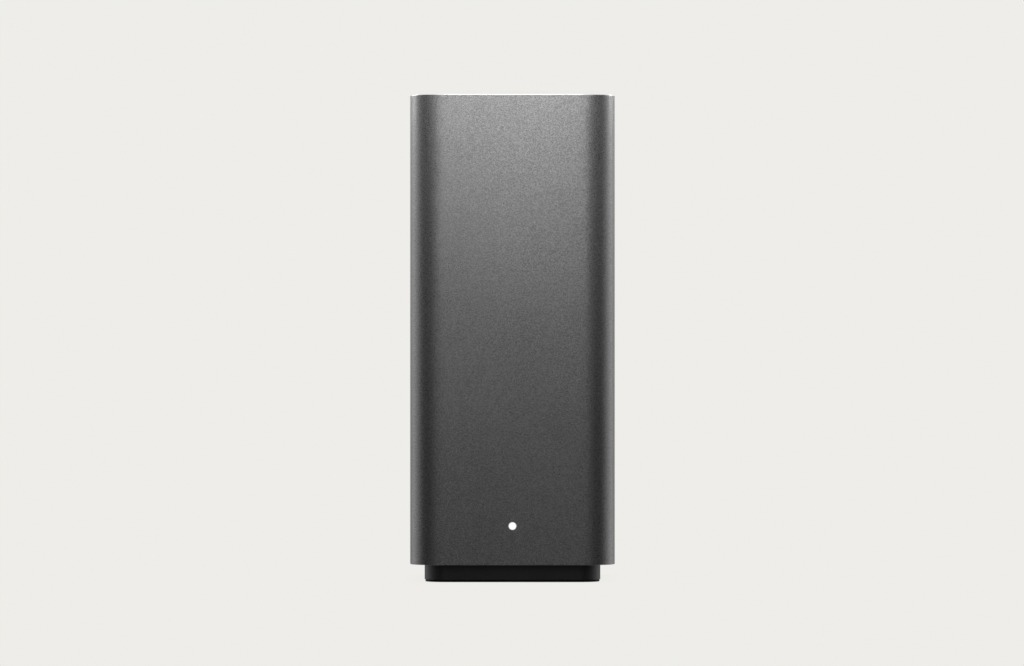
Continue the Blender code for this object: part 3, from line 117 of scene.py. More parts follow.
# Small parts of the board, placed across it and up from the floor
CAN_SPOTS = ((-20 * MM, 27 * MM), (-11 * MM, 27 * MM), (14 * MM, 21 * MM))
CAN_BASE_HALF = 3.3 * MM
CAN_BASE_CORNER = 0.8 * MM
CAN_BASE_HIGH = 1.0 * MM
CAN_TOP = 7.6 * MM
CAN_SCORE_DEEP = 0.25 * MM
MAGNETIC_SPOTS = ((5 * MM, 35.5 * MM), (0 * MM, 20 * MM))
MAGNETIC_HALF = (6.2 * MM, 3.4 * MM)
MAGNETIC_CORNER = 0.4 * MM
MAGNETIC_STANDOFF = 0.3 * MM
MAGNETIC_TOP = 4.6 * MM
SPOT_ROOM = (7 * MM, 5.5 * MM)  # kept free each way round the cans and transformers
PART_EDGE = 2 * MM
PART_MARGIN = 2.5 * MM
PART_ROOM = 1.2 * MM

# Screws
BOARD_HEAD_HEIGHT = 1.3 * MM
CASE_HEAD_HEIGHT = 1.6 * MM
BOARD_THREAD = 0.6 * MM
CASE_THREAD = 0.9 * MM
THREAD_DEPTH = 0.22
SHANK_ROOT = 0.3 * MM  # shank sunk into its head
HEAD_EASE = 0.12 * MM
HEAD_SIDE = 0.45  # share of a head's height where its crown starts
HEAD_CROWN = 0.42
LOBES = 6
LOBE_RADIUS = 0.42
LOBE_WAVE = 0.14

# Stage
REAR_FADE = (0.68, 0.85)
FRONT_GLOW = (-0.99, -0.95)
FLOOR_GAP = 0.2 * MM
SHADE_REACH = 8 * MM
SHADE_SHARE = 0.05
LIGHT_AIM = (0.0, -0.039, 0.15)
NEAR_AT = (0.0, -0.15, 0.3)
MIDDLE_AT = (0.0, -0.42, 0.215)
FAR_AT = (0.0, -0.8, 0.24)
SIDE_AT = (0.25, 0.12, 0.32)
SIDE_SIZE = (0.15, 0.15)
CAMERA_LEFT = 0.00018
CLIP = (0.05, 30.0)


# Outlines and solids


def rounded(half_x, half_y, radius, steps=CORNER_STEPS, middle=(0.0, 0.0)):
    """Points anticlockwise round a rectangle with round corners."""
    points = []
    for turn, (side_x, side_y) in enumerate(((1, 1), (-1, 1), (-1, -1), (1, -1))):
        centre_x = middle[0] + side_x * (half_x - radius)
        centre_y = middle[1] + side_y * (half_y - radius)
        for i in range(steps + 1):
            angle = math.pi / 2 * (turn + i / steps)
            points.append((centre_x + radius * math.cos(angle), centre_y + radius * math.sin(angle)))
    return points


def flowing(half, run, inset=0.0, steps=CORNER_STEPS):
    """Points round a square whose corners bend gently into its sides, drawn in by an inset.

    Along a corner the bend grows and fades as the square of a sine over the run.
    """
    place = Vector((0.0, 0.0))
    bend = []
    fine = 8
    for i in range(steps * fine + 1):
        share = i / (steps * fine)
        turn = math.pi / 2 * (share - math.sin(2 * math.pi * share) / (2 * math.pi))
        along = Vector((-math.sin(turn), math.cos(turn)))
        if i:
            place = place + along * run / (steps * fine)
        if i % fine == 0:
            bend.append(place - Vector((math.cos(turn), math.sin(turn))) * inset)
    reach = place.y
    points = []
    for quarter in range(4):
        turned = Matrix.Rotation(math.pi / 2 * quarter, 2)
        points += [tuple(turned @ (Vector((half, half - reach)) + point)) for point in bend]
    return points


def circle(radius, middle=(0.0, 0.0), steps=48):
    turns = [2 * math.pi * i / steps for i in range(steps)]
    return [(middle[0] + radius * math.cos(a), middle[1] + radius * math.sin(a)) for a in turns]


def lift(outline, axis, level):
    """The outline's points at a level along an axis."""
    if axis == "Z":
        return [Vector((u, v, level)) for u, v in outline]
    if axis == "Y":
        return [Vector((u, level, v)) for u, v in outline]
    return [Vector((level, u, v)) for u, v in outline]


def soft_ends(low, high, round_low, round_high, steps=3):
    """Insets and levels up a solid's side, with a quarter round at each end."""
    rows = []
    for i in range(steps + 1):
        turn = math.pi / 2 * i / steps
        rows.append((round_low * (1 - math.sin(turn)), low + round_low * (1 - math.cos(turn))))
    for i in range(steps, -1, -1):
        turn = math.pi / 2 * i / steps
        rows.append((round_high * (1 - math.sin(turn)), high - round_high * (1 - math.cos(turn))))
    return rows


def mesh_of(bm, name):
    bmesh.ops.recalc_face_normals(bm, faces=bm.faces)
    mesh = bpy.data.meshes.new(name)
    bm.to_mesh(mesh)
    bm.free()
    return mesh


def loft(name, rings, closed=False):
    """Skin over rings of equally many points, capped at its ends unless it closes on itself."""
    bm = bmesh.new()
    rows = [[bm.verts.new(point) for point in ring] for ring in rings]
    pairs = list(zip(rows, rows[1:]))
    if closed:
        pairs.append((rows[-1], rows[0]))
    for low, high in pairs:
        for i, corner in enumerate(low):
            j = (i + 1) % len(low)
            bm.faces.new((corner, low[j], high[j], high[i]))
    if not closed:
        bm.faces.new(rows[0])
        bm.faces.new(rows[-1])
    return mesh_of(bm, name)


def block(low, high):
    """Box between two corners."""
    outline = [(low[0], low[1]), (high[0], low[1]), (high[0], high[1]), (low[0], high[1])]
    return loft("block", [lift(outline, "Z", low[2]), lift(outline, "Z", high[2])])


def rod(radius, middle, low, high, axis, steps=48, edge=0.0):
    """Round bar along an axis, its edges eased."""
    rows = soft_ends(low, high, edge, edge) if edge else [(0, low), (0, high)]
    return loft("rod", [lift(circle(radius - inset, middle, steps), axis, at) for inset, at in rows])


def pad(half_x, half_y, radius, middle, low, high, axis, edge=0.0, steps=8):
    """Plate with round corners along an axis, its edges eased."""
    rows = soft_ends(low, high, edge, edge) if edge else [(0, low), (0, high)]
    return loft(
        "pad",
        [
            lift(rounded(half_x - inset, half_y - inset, radius - inset, steps, middle), axis, at)
            for inset, at in rows
        ],
    )


def points_mesh(name, points, joined=False):
    """Loose points, or one line through them."""
    mesh = bpy.data.meshes.new(name)
    mesh.from_pydata(points, [(i, i + 1) for i in range(len(points) - 1)] if joined else [], [])
    return mesh


def evaluated(obj):
    """Plain mesh of an object with its modifiers, and the object removed."""
    bpy.context.view_layer.update()
    graph = bpy.context.evaluated_depsgraph_get()
    mesh = bpy.data.meshes.new_from_object(obj.evaluated_get(graph))
    bpy.data.objects.remove(obj)
    return mesh


def holder(mesh, name="holder"):
    obj = bpy.data.objects.new(name, mesh)
    bpy.context.scene.collection.objects.link(obj)
    return obj


def shaped(mesh, *steps):
    """Mesh after Booleans, each an operation and the other solid."""
    obj = holder(mesh)
    others = []
    for operation, other in steps:
        step = obj.modifiers.new(operation, "BOOLEAN")
        step.operation = operation
        step.solver = "MANIFOLD"
        step.object = holder(other)
        others.append(step.object)
    made = evaluated(obj)
    for other in others:
        bpy.data.objects.remove(other)
    return made


def less(mesh, *others):
    return shaped(mesh, *[("DIFFERENCE", other) for other in others])


def plus(mesh, *others):
    return shaped(mesh, *[("UNION", other) for other in others])


def cad_copy(node):
    """Merged copy of a fixed part's mesh, without the edges that only split its flat faces."""
    bm = bmesh.new()
    bm.from_mesh(frame["nodes"][node].data)
    bmesh.ops.remove_doubles(bm, verts=bm.verts, dist=0.002 * MM)
    bmesh.ops.dissolve_limit(bm, angle_limit=math.radians(0.5), verts=bm.verts, edges=bm.edges)
    mesh = bpy.data.meshes.new(node)
    bm.to_mesh(mesh)
    bm.free()
    return mesh


def together(meshes):
    """One mesh of several."""
    bm = bmesh.new()
    for mesh in meshes:
        bm.from_mesh(mesh)
    joined = bpy.data.meshes.new("joined")
    bm.to_mesh(joined)
    bm.free()
    return joined


def eased(mesh, width, segments=2):
    """Mesh with its sharp edges rounded."""
    obj = holder(mesh)
    step = obj.modifiers.new("Ease", "BEVEL")
    step.width = width
    step.segments = segments
    step.limit_method = "ANGLE"
    step.angle_limit = math.radians(40)
    step.use_clamp_overlap = True
    return evaluated(obj)


def piece(name, mesh, finish, slot, *nodes, body=HOUSING, smooth=SMOOTH_BELOW):
    """Finished piece on a body, which stands for the fixed parts that are named."""
    if finish:
        mesh.materials.clear()
        mesh.materials.append(finish)
    mesh.shade_smooth()
    mesh.set_sharp_from_angle(angle=smooth)
    obj = holder(mesh)
    step = obj.modifiers.new("Flats", "WEIGHTED_NORMAL")
    step.keep_sharp = True
    obj = holder(evaluated(obj), name)
    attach(obj, body)
    if nodes:
        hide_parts(*nodes)
    return obj


def refined(name, node, finish, slot, width=0.15 * MM, body=HOUSING, segments=2):
    """A fixed part's own shape with eased edges."""
    return piece(name, eased(cad_copy(node), width, segments), finish, slot, node, body=body)


def coat_node(node, finish):
    """Gives a fixed part its material."""
    mesh = frame["nodes"][node].data
    mesh.materials.clear()
    mesh.materials.append(finish)


# Materials


class Paint:
    """One node material under construction."""

    def __init__(self, name, roughness, metallic=0.0, **plain):
        self.material = bpy.data.materials.new(name)
        self.material.use_nodes = True
        self.tree = self.material.node_tree
        self.shader = self.tree.nodes["Principled BSDF"]
        self.shader.inputs["Roughness"].default_value = roughness
        self.shader.inputs["Metallic"].default_value = metallic
        for label, value in plain.items():
            self.shader.inputs[label.replace("_", " ").title().replace("Ior", "IOR")].default_value = value
        self.place = self.tree.nodes.new("ShaderNodeTexCoord").outputs["Object"]

    def node(self, kind, links, **settings):
        made = self.tree.nodes.new(kind)
        for key, value in settings.items():
            setattr(made, key, value)
        for key, value in links.items():
            if isinstance(value, bpy.types.NodeSocket):
                self.tree.links.new(value, made.inputs[key])
            else:
                made.inputs[key].default_value = value
        return made

    def noise(self, size, detail=2.0, stretch=None):
        """Noise of that size, from about 0.3 to 0.7."""
        vector = self.place
        if stretch:
            vector = self.node("ShaderNodeMapping", {"Vector": vector, "Scale": stretch}).outputs[0]
        links = {"Vector": vector, "Scale": 1 / size, "Detail": detail}
        return self.node("ShaderNodeTexNoise", links).outputs[0]

    def between(self, value, low, high, start=0.3, end=0.7):
        links = {"Value": value, "From Min": start, "From Max": end, "To Min": low, "To Max": high}
        return self.node("ShaderNodeMapRange", links).outputs[0]

    def math(self, operation, first, second):
        return self.node("ShaderNodeMath", {0: first, 1: second}, operation=operation).outputs[0]

    def mix(self, share, first, second):
        made = self.node("ShaderNodeMix", {"Factor": share, 6: first, 7: second}, data_type="RGBA")
        return made.outputs[2]

    def colour(self, value):
        self.tree.links.new(value, self.shader.inputs["Base Color"])

    def rough(self, value):
        self.tree.links.new(value, self.shader.inputs["Roughness"])

    def bump(self, height, depth, strength=1.0):
        made = self.node("ShaderNodeBump", {"Height": height, "Distance": depth, "Strength": strength})
        self.tree.links.new(made.outputs[0], self.shader.inputs["Normal"])


def shade(colour, by):
    return (*[channel * by for channel in colour], 1.0)


def surface(name, colour, roughness, metallic=0.0, grain=0.4, depth=0.01, mottle=0.12, patch=9.0,
            spread=0.05, stretch=None, **plain):
    """Finish with fine grain in tone, gloss and relief, and slow changes of tone. Sizes in millimetres."""
    paint = Paint(name, roughness, metallic, **plain)
    fine = paint.noise(grain * MM, 3.0, stretch)
    broad = paint.noise(patch * MM)
    tone = paint.math("MULTIPLY", paint.math("ADD", fine, broad), 0.5)
    share = paint.between(tone, 0.0, 1.0, 0.35, 0.65)
    paint.colour(paint.mix(share, shade(colour, 1 - mottle), shade(colour, 1 + mottle)))
    paint.rough(paint.between(fine, roughness - spread, roughness + spread))
    paint.bump(fine, depth * MM)
    return paint.material


def shell_finish(colour, grain, relief, sparkle):
    """Bead-blasted graphite coat: dark satin ground, fine relief and small bright flakes."""
    paint = Paint("Graphite shell", 0.3, 0.9)
    fine = paint.noise(grain, 2.0)
    finer = paint.noise(grain / 2, 1.0)
    broad = paint.noise(35 * MM)
    flake = paint.between(fine, 1 - sparkle, 1 + sparkle, 0.32, 0.68)
    slow = paint.between(broad, 0.97, 1.03)
    tone = paint.math("MULTIPLY", flake, slow)
    dark = paint.node("ShaderNodeMix", {"Factor": 1.0, 6: (*colour, 1.0)}, data_type="RGBA",
                      blend_type="MULTIPLY")
    grey = paint.node("ShaderNodeCombineColor", {0: tone, 1: tone, 2: tone}).outputs[0]
    paint.tree.links.new(grey, dark.inputs[7])
    paint.colour(dark.outputs[2])
    paint.rough(paint.between(finer, 0.26, 0.35))
    paint.bump(paint.math("ADD", fine, paint.math("MULTIPLY", finer, 0.5)), relief)
    return paint.material


FINISHES = {}


def finish(name):
    """A finish by name, made once."""
    if name in FINISHES:
        return FINISHES[name]
    shell = bpy.context.scene.wifi_shell
    metals = bpy.context.scene.wifi_metals
    steel, brass = tuple(metals.steel), tuple(metals.brass)
    makers = {
        "shell": lambda: shell_finish(tuple(shell.colour), shell.grain, shell.relief, shell.sparkle),
        "black plastic": lambda: surface(
            "Satin black plastic", tuple(shell.black), 0.42, grain=0.35, depth=0.006, mottle=0.2),
        "cap plastic": lambda: surface(
            "Matt cap plastic", tuple(shell.black), 0.68, grain=0.35, depth=0.012, mottle=0.2,
            specular_ior_level=0.22),
        "socket plastic": lambda: surface(
            "Socket plastic", (0.014, 0.014, 0.015), 0.35, grain=0.25, depth=0.004, mottle=0.2),
        "button plastic": lambda: surface(
            "Button plastic", (0.03, 0.03, 0.032), 0.38, grain=0.3, depth=0.005, mottle=0.15),
        "frame plastic": lambda: surface(
            "Glass-filled frame plastic", (0.05, 0.05, 0.055), 0.55, grain=0.5, depth=0.012, mottle=0.25),
        "stem plastic": lambda: surface(
            "Pale switch plastic", (0.75, 0.74, 0.7), 0.4, grain=0.3, depth=0.003, mottle=0.05),
        "rubber": lambda: surface(
            "Foot rubber", (0.01, 0.01, 0.01), 0.72, grain=0.3, depth=0.02, mottle=0.3),
        "steel": lambda: surface(
            "Screw steel", steel, 0.3, 1.0, grain=0.3, depth=0.002, mottle=0.15, spread=0.08),
        "screen steel": lambda: surface(
            "Blackened screen wire", (0.02, 0.02, 0.021), 0.4, 0.4, grain=0.2, depth=0.004, mottle=0.3),
        "tinned steel": lambda: surface(
            "Tinned steel", (0.7, 0.69, 0.66), 0.28, 1.0, grain=0.25, depth=0.002, mottle=0.1,
            stretch=(1.0, 0.1, 1.0)),
        "aluminium": lambda: surface(
            "Milled aluminium", (0.6, 0.6, 0.61), 0.36, 1.0, grain=0.2, depth=0.003, mottle=0.1,
            stretch=(1.0, 1.0, 0.06)),
        "brass": lambda: surface(
            "Antenna brass", brass, 0.3, 1.0, grain=0.3, depth=0.002, mottle=0.12),
        "gold": lambda: surface(
            "Gold contact", (0.9, 0.62, 0.22), 0.2, 1.0, grain=0.2, depth=0.001, mottle=0.08),
        "epoxy": lambda: surface(
            "Chip epoxy", (0.018, 0.018, 0.02), 0.5, grain=0.2, depth=0.006, mottle=0.25),
        "silicone": lambda: surface(
            "Thermal silicone", (0.3, 0.45, 0.6), 0.6, grain=0.3, depth=0.01, mottle=0.1),
        "sheath": lambda: surface(
            "Lead sheath", (0.02, 0.02, 0.022), 0.45, grain=0.4, depth=0.004, mottle=0.2),
        "ceramic": lambda: surface(
            "Ceramic capacitor", (0.42, 0.27, 0.15), 0.45, grain=0.2, depth=0.003, mottle=0.15),
        "can": lambda: surface(
            "Capacitor can", (0.62, 0.62, 0.64), 0.25, 1.0, grain=0.3, depth=0.001, mottle=0.06),
        "window": lambda: surface(
            "Frosted light window", (0.5, 0.56, 0.48), 0.35, grain=0.3, depth=0.003, mottle=0.06),
        "board": board_finish,
        "light": light_finish,
        "led": led_finish,
    }
    FINISHES[name] = makers[name]()
    return FINISHES[name]


def board_finish():
    """Green solder mask over fine copper tracks, with plated holes."""
    paint = Paint("Board laminate", 0.3, coat_weight=0.3)
    tracks = paint.node(
        "ShaderNodeTexVoronoi", {"Vector": paint.place, "Scale": 1 / (2.2 * MM)}, distance="MANHATTAN")
    fold = paint.math("PINGPONG", paint.math("MULTIPLY", tracks.outputs["Distance"], 6.0), 0.5)
    line = paint.between(fold, 0.0, 1.0, 0.22, 0.28)
    holes = paint.node("ShaderNodeTexVoronoi", {"Vector": paint.place, "Scale": 1 / (3.1 * MM)})
    plated = paint.between(holes.outputs["Distance"], 1.0, 0.0, 0.09, 0.11)
    mask = paint.mix(line, (0.006, 0.045, 0.02, 1), (0.012, 0.09, 0.04, 1))
    paint.colour(paint.mix(plated, mask, (0.7, 0.55, 0.25, 1)))
    paint.rough(paint.between(line, 0.34, 0.26, 0.0, 1.0))
    paint.bump(line, 0.02 * MM)
    return paint.material


def light_finish():
    """Frosted clear plastic with the status light behind it, dimmer towards its rim."""
    light = bpy.context.scene.wifi_light
    paint = Paint("Status light guide", 0.35, emission_strength=light.strength)
    low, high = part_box("light_guide")
    across = paint.node("ShaderNodeMapping", {
        "Vector": paint.place, "Location": (0.0, 0.0, -(low.z + high.z) / 2), "Scale": (1.0, 0.0, 1.0),
    }).outputs[0]
    out = paint.node("ShaderNodeVectorMath", {0: across}, operation="LENGTH").outputs["Value"]
    dim = paint.between(out, 0.0, 1.0, light.core, GUIDE_RADIUS)
    paint.tree.links.new(
        paint.mix(dim, (*light.colour, 1.0), (*[channel * light.rim for channel in light.colour], 1.0)),
        paint.shader.inputs["Emission Color"])
    cloud = paint.noise(0.4 * MM)
    paint.colour(paint.mix(cloud, (0.3, 0.3, 0.3, 1), (0.4, 0.4, 0.4, 1)))
    paint.bump(cloud, 0.002 * MM)
    return paint.material


def led_finish():
    paint = Paint("Light-emitting chip", 0.25, emission_strength=0.6)
    paint.shader.inputs["Emission Color"].default_value = (1.0, 1.0, 0.95, 1.0)
    cloud = paint.noise(0.3 * MM)
    paint.colour(paint.mix(cloud, (0.8, 0.75, 0.5, 1), (0.95, 0.9, 0.65, 1)))
    return paint.material


# Geometry Nodes


class Growth:
    """One Geometry Nodes tree under construction, with named inputs."""

    KINDS = {int: "Int", float: "Float", tuple: "Vector", bpy.types.Material: "Material",
             bpy.types.Object: "Object"}

    def __init__(self, name, **sizes):
        self.tree = bpy.data.node_groups.new(name, "GeometryNodeTree")
        interface = self.tree.interface
        interface.new_socket("Geometry", in_out="INPUT", socket_type="NodeSocketGeometry")
        self.values = {}
        for label, value in sizes.items():
            kind = self.KINDS[type(value)]
            title = label.replace("_", " ").capitalize()
            socket = interface.new_socket(title, in_out="INPUT", socket_type=f"NodeSocket{kind}")
            self.values[socket.identifier] = value
        interface.new_socket("Geometry", in_out="OUTPUT", socket_type="NodeSocketGeometry")
        self.source = self.tree.nodes.new("NodeGroupInput").outputs
        self.sink = self.tree.nodes.new("NodeGroupOutput")

    def __getitem__(self, label):
        return self.source[label]

    def add(self, kind, links=(), **settings):
        """Node with its settings; links gives each input a value, or another node or its output."""
        made = self.tree.nodes.new(kind)
        for key, value in settings.items():
            setattr(made, key, value)
        for key, value in dict(links).items():
            several = value if isinstance(value, list) else [value]
            for one in several:
                if isinstance(one, bpy.types.Node):
                    one = one.outputs[0]
                if isinstance(one, bpy.types.NodeSocket):
                    self.tree.links.new(one, made.inputs[key])
                else:
                    made.inputs[key].default_value = one
        return made

    def math(self, operation, first, second=0.0):
        return self.add("ShaderNodeMath", {0: first, 1: second}, operation=operation)

    def vector(self, x=0.0, y=0.0, z=0.0):
        return self.add("ShaderNodeCombineXYZ", {0: x, 1: y, 2: z})

    def row(self, count, pitch, axis, level=None):
        """Points in a row along an axis, centred on a level."""
        start = self.math("MULTIPLY", self.math("MULTIPLY", self.math("SUBTRACT", count, 1.0), -0.5), pitch)
        if level is not None:
            start = self.math("ADD", start, level)
        return self.add("GeometryNodeMeshLine", {
            "Count": count,
            "Start Location": self.vector(**{axis: start}),
            "Offset": self.vector(**{axis: pitch}),
        })

    def join(self, *parts):
        return self.add("GeometryNodeJoinGeometry", {0: list(reversed(parts))})

    def paint(self, geometry, material):
        return self.add("GeometryNodeSetMaterial", {"Geometry": geometry, "Material": material})

    def grow(self, geometry, base=None):
        """Ends the tree, runs it on a mesh and returns the plain mesh that it makes."""
        realized = self.add("GeometryNodeRealizeInstances", {0: geometry})
        self.tree.links.new(realized.outputs[0], self.sink.inputs[0])
        obj = bpy.data.objects.new("growth", base or bpy.data.meshes.new("growth"))
        step = obj.modifiers.new("Growth", "NODES")
        step.node_group = self.tree
        for key, value in self.values.items():
            step[key] = value
        bpy.context.scene.collection.objects.link(obj)
        return evaluated(obj)


# Case


class WIFI_OT_sleeve(bpy.types.Operator):
    """Builds the outer sleeve: one square tube with round corners, rim, lugs and openings."""

    bl_idname = "wifi.sleeve"
    bl_label = "Outer sleeve"

    def execute(self, context):
        edge = context.scene.wifi_shell.edge
        low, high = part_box("outer_sleeve")
        run = context.scene.wifi_shell.corner_run
        rings = [
            lift(flowing(high.x, run, inset), "Z", level)
            for inset, level in soft_ends(low.z, high.z, edge, edge)
        ]
        ledge = high.z - LEDGE_DROP
        inner = [(RIM_WALL - edge, high.z), (RIM_WALL, high.z - edge), (RIM_WALL, ledge)]
        inner += [(WALL, ledge), (WALL, low.z + edge), (WALL - edge, low.z)]
        rings += [
            lift(rounded(high.x - inset, high.y - inset, CORNER_RADIUS - inset), "Z", level)
            for inset, level in inner
        ]
        sleeve = loft("sleeve", rings, closed=True)
        lug_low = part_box("base_plate")[1].z + LUG_DROP
        inside = WALL / 2
        outline = rounded(high.x - inside, high.y - inside, CORNER_RADIUS - inside)
        lugs = loft("lugs", [lift(outline, "Z", lug_low), lift(outline, "Z", LUG_TOP)])
        reach = high.x + PAST
        lugs = less(
            lugs,
            block((-LUG_EDGE, -reach, lug_low - PAST), (LUG_EDGE, reach, LUG_TOP + PAST)),
            block((-reach, -LUG_EDGE, lug_low - PAST), (reach, LUG_EDGE, LUG_TOP + PAST)),
        )
        pilots = []
        for i in range(1, 5):
            screw_low, screw_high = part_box(f"case_screw_{i}")
            middle = ((screw_low.x + screw_high.x) / 2, (screw_low.y + screw_high.y) / 2)
            pilots.append(rod(PILOT_RADIUS, middle, lug_low - PAST, lug_low + PILOT_DEPTH, "Z", 24))
        bezel_low, bezel_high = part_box("io_bezel")
        half = bezel_high.x - BEZEL_FLANGE
        tall = (bezel_high.z - bezel_low.z) / 2 - BEZEL_FLANGE
        middle = (0.0, (bezel_low.z + bezel_high.z) / 2)
        flare = [(0.0, high.y - WALL - PAST), (0.0, high.y - edge), (-edge - PAST, high.y + PAST)]
        window = loft("window", [
            lift(rounded(half - inset, tall - inset, WINDOW_RADIUS - inset, 12, middle), "Y", level)
            for inset, level in flare
        ])
        guide_low, guide_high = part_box("light_guide")
        light = rod(
            GUIDE_RADIUS + LIGHT_HOLE_ROOM,
            (0.0, (guide_low.z + guide_high.z) / 2), low.y - PAST, low.y + WALL + PAST, "Y")
        sleeve = less(plus(sleeve, lugs), *pilots, window, light)
        piece("sleeve", sleeve, finish("shell"), "graphite_shell", "outer_sleeve")
        return {"FINISHED"}


class WIFI_OT_base(bpy.types.Operator):
    """Builds the plinth, the rubber foot and the base plate."""

    bl_idname = "wifi.base"
    bl_label = "Plinth, foot and base plate"

    def execute(self, context):
        edge = context.scene.wifi_shell.edge
        refined("plinth_body", "plinth", finish("black plastic"), "black_plastic", edge)
        refined("rubber_foot", "foot_pad", finish("rubber"), "foot_rubber", 0.12 * MM)
        refined("air_base_plate", "base_plate", finish("frame plastic"), "frame_plastic", edge)
        return {"FINISHED"}


class WIFI_OT_light(bpy.types.Operator):
    """Builds the status light: its guide through the front wall and the light behind it."""

    bl_idname = "wifi.light"
    bl_label = "Status light"

    def execute(self, context):
        guide = eased(cad_copy("light_guide"), 0.06 * MM)
        piece("light_pipe", guide, finish("light"), "light_guide", "light_guide")
        refined("light_chip", "status_led", finish("led"), "led_white", 0.08 * MM)
        return {"FINISHED"}


class WIFI_OT_vent(bpy.types.Operator):
    """Builds the top cap with its slots, and the woven screen under it."""

    bl_idname = "wifi.vent"
    bl_label = "Top vent"

    def execute(self, context):
        vent = context.scene.wifi_vent
        low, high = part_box("top_cap")
        under = high.z - CAP_THICK
        edge = context.scene.wifi_shell.edge
        cap_rows = soft_ends(under, high.z, edge, edge)
        radius = CORNER_RADIUS - (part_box("outer_sleeve")[1].x - high.x)
        plate = loft("plate", [
            lift(rounded(high.x - inset, high.y - inset, radius - inset), "Z", level)
            for inset, level in cap_rows
        ])
        hooks = less(cad_copy("top_cap"), block((-1, -1, under + HOOK_ROOT), (1, 1, 1)))
        half, reach = vent.slot_width / 2, vent.slot_length / 2
        flare = [(0.0, under - PAST), (0.0, high.z - SLOT_EASE)]
        flare += [(-SLOT_EASE, high.z), (-SLOT_EASE - PAST, high.z + PAST)]
        cutter = loft("slot", [
            lift(rounded(reach - inset, half - inset, half - inset - 1e-6, 6), "Z", level)
            for inset, level in flare
        ])
        shape = holder(cutter, "slot")
        grow = Growth("Slotted vent", slots=vent.slots, pitch=vent.pitch, slot_shape=shape,
                      finish=finish("cap plastic"))
        row = grow.row(grow["Slots"], grow["Pitch"], "y")
        slot = grow.add("GeometryNodeObjectInfo", {"Object": grow["Slot shape"]})
        slots = grow.add("GeometryNodeInstanceOnPoints", {
            "Points": row, "Instance": slot.outputs["Geometry"]})
        cuts = grow.add("GeometryNodeRealizeInstances", {0: slots})
        slotted = grow.add("GeometryNodeMeshBoolean", {"Mesh 1": grow["Geometry"], "Mesh 2": cuts},
                           operation="DIFFERENCE", solver="MANIFOLD")
        mesh = grow.grow(grow.paint(slotted, grow["Finish"]), plate)
        bpy.data.objects.remove(shape)
        piece("slotted_cap", plus(mesh, hooks), finish("cap plastic"), "black_plastic", "top_cap")
        self.screen(vent)
        return {"FINISHED"}

    def screen(self, vent):
        """Wire cloth in a punched rim."""
        low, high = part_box("vent_screen")
        middle = (low.z + high.z) / 2
        wave = (high.z - low.z) / 2 - vent.wire / 2
        grow = Growth("Woven wire", wires=vent.wires, pitch=vent.wire_pitch, wire=vent.wire / 2,
                      wave=wave, level=middle, finish=finish("screen steel"))
        length = grow.math("MULTIPLY", grow["Wires"], grow["Pitch"])
        half = grow.math("MULTIPLY", length, 0.5)
        line = grow.add("GeometryNodeCurvePrimitiveLine", {
            "Start": grow.vector(x=grow.math("MULTIPLY", half, -1.0)),
            "End": grow.vector(x=half),
        })
        knots = grow.math("ADD", grow.math("MULTIPLY", grow["Wires"], 2.0), 1.0)
        strand = grow.add("GeometryNodeResampleCurve", {"Curve": line, "Count": knots})
        row = grow.row(grow["Wires"], grow["Pitch"], "y")
        strands = grow.add("GeometryNodeInstanceOnPoints", {"Points": row, "Instance": strand})
        cloth = grow.add("GeometryNodeRealizeInstances", {0: strands})
        at = grow.add("ShaderNodeSeparateXYZ", {0: grow.add("GeometryNodeInputPosition")})
        waves = []
        for axis in (0, 1):
            turn = grow.math("DIVIDE", grow.math("MULTIPLY", at.outputs[axis], math.pi), grow["Pitch"])
            waves.append(grow.math("COSINE", turn))
        rise = grow.math("MULTIPLY", grow.math("MULTIPLY", waves[0], waves[1]), grow["Wave"])
        warp = grow.add("GeometryNodeSetPosition", {"Geometry": cloth, "Offset": grow.vector(z=rise)})
        weft = grow.add("GeometryNodeTransform", {
            "Geometry": warp, "Rotation": (0.0, 0.0, math.pi / 2), "Scale": (1.0, 1.0, -1.0)})
        profile = grow.add("GeometryNodeCurvePrimitiveCircle", {"Resolution": 5, "Radius": grow["Wire"]})
        both = grow.add("GeometryNodeCurveToMesh", {
            "Curve": grow.join(warp, weft), "Profile Curve": profile, "Fill Caps": True})
        raised = grow.add("GeometryNodeTransform", {
            "Geometry": both, "Translation": grow.vector(z=grow["Level"])})
        cloth = grow.grow(grow.paint(raised, grow["Finish"]))
        inner = vent.wires * vent.wire_pitch / 2 - RIM_LAP
        rim = pad(high.x, high.y, RIM_RADIUS, (0.0, 0.0), low.z, high.z, "Z", RIM_EDGE, 12)
        notches = [pad(inner, inner, RIM_INNER_RADIUS, (0.0, 0.0), low.z - PAST, high.z + PAST, "Z")]
        for side_x, side_y in ((1, 0), (-1, 0), (0, 1), (0, -1)):
            near, far = HOOK_NOTCH, high.x + PAST
            xs = sorted((side_x * near, side_x * far)) if side_x else (-NOTCH_HALF, NOTCH_HALF)
            ys = sorted((side_y * near, side_y * far)) if side_y else (-NOTCH_HALF, NOTCH_HALF)
            notches.append(block((xs[0], ys[0], low.z - PAST), (xs[1], ys[1], high.z + PAST)))
        rim = less(rim, *notches)
        piece("woven_screen", together([rim, cloth]), finish("screen steel"), "screen_steel", "vent_screen",
              smooth=math.radians(75))


# Sockets and switches


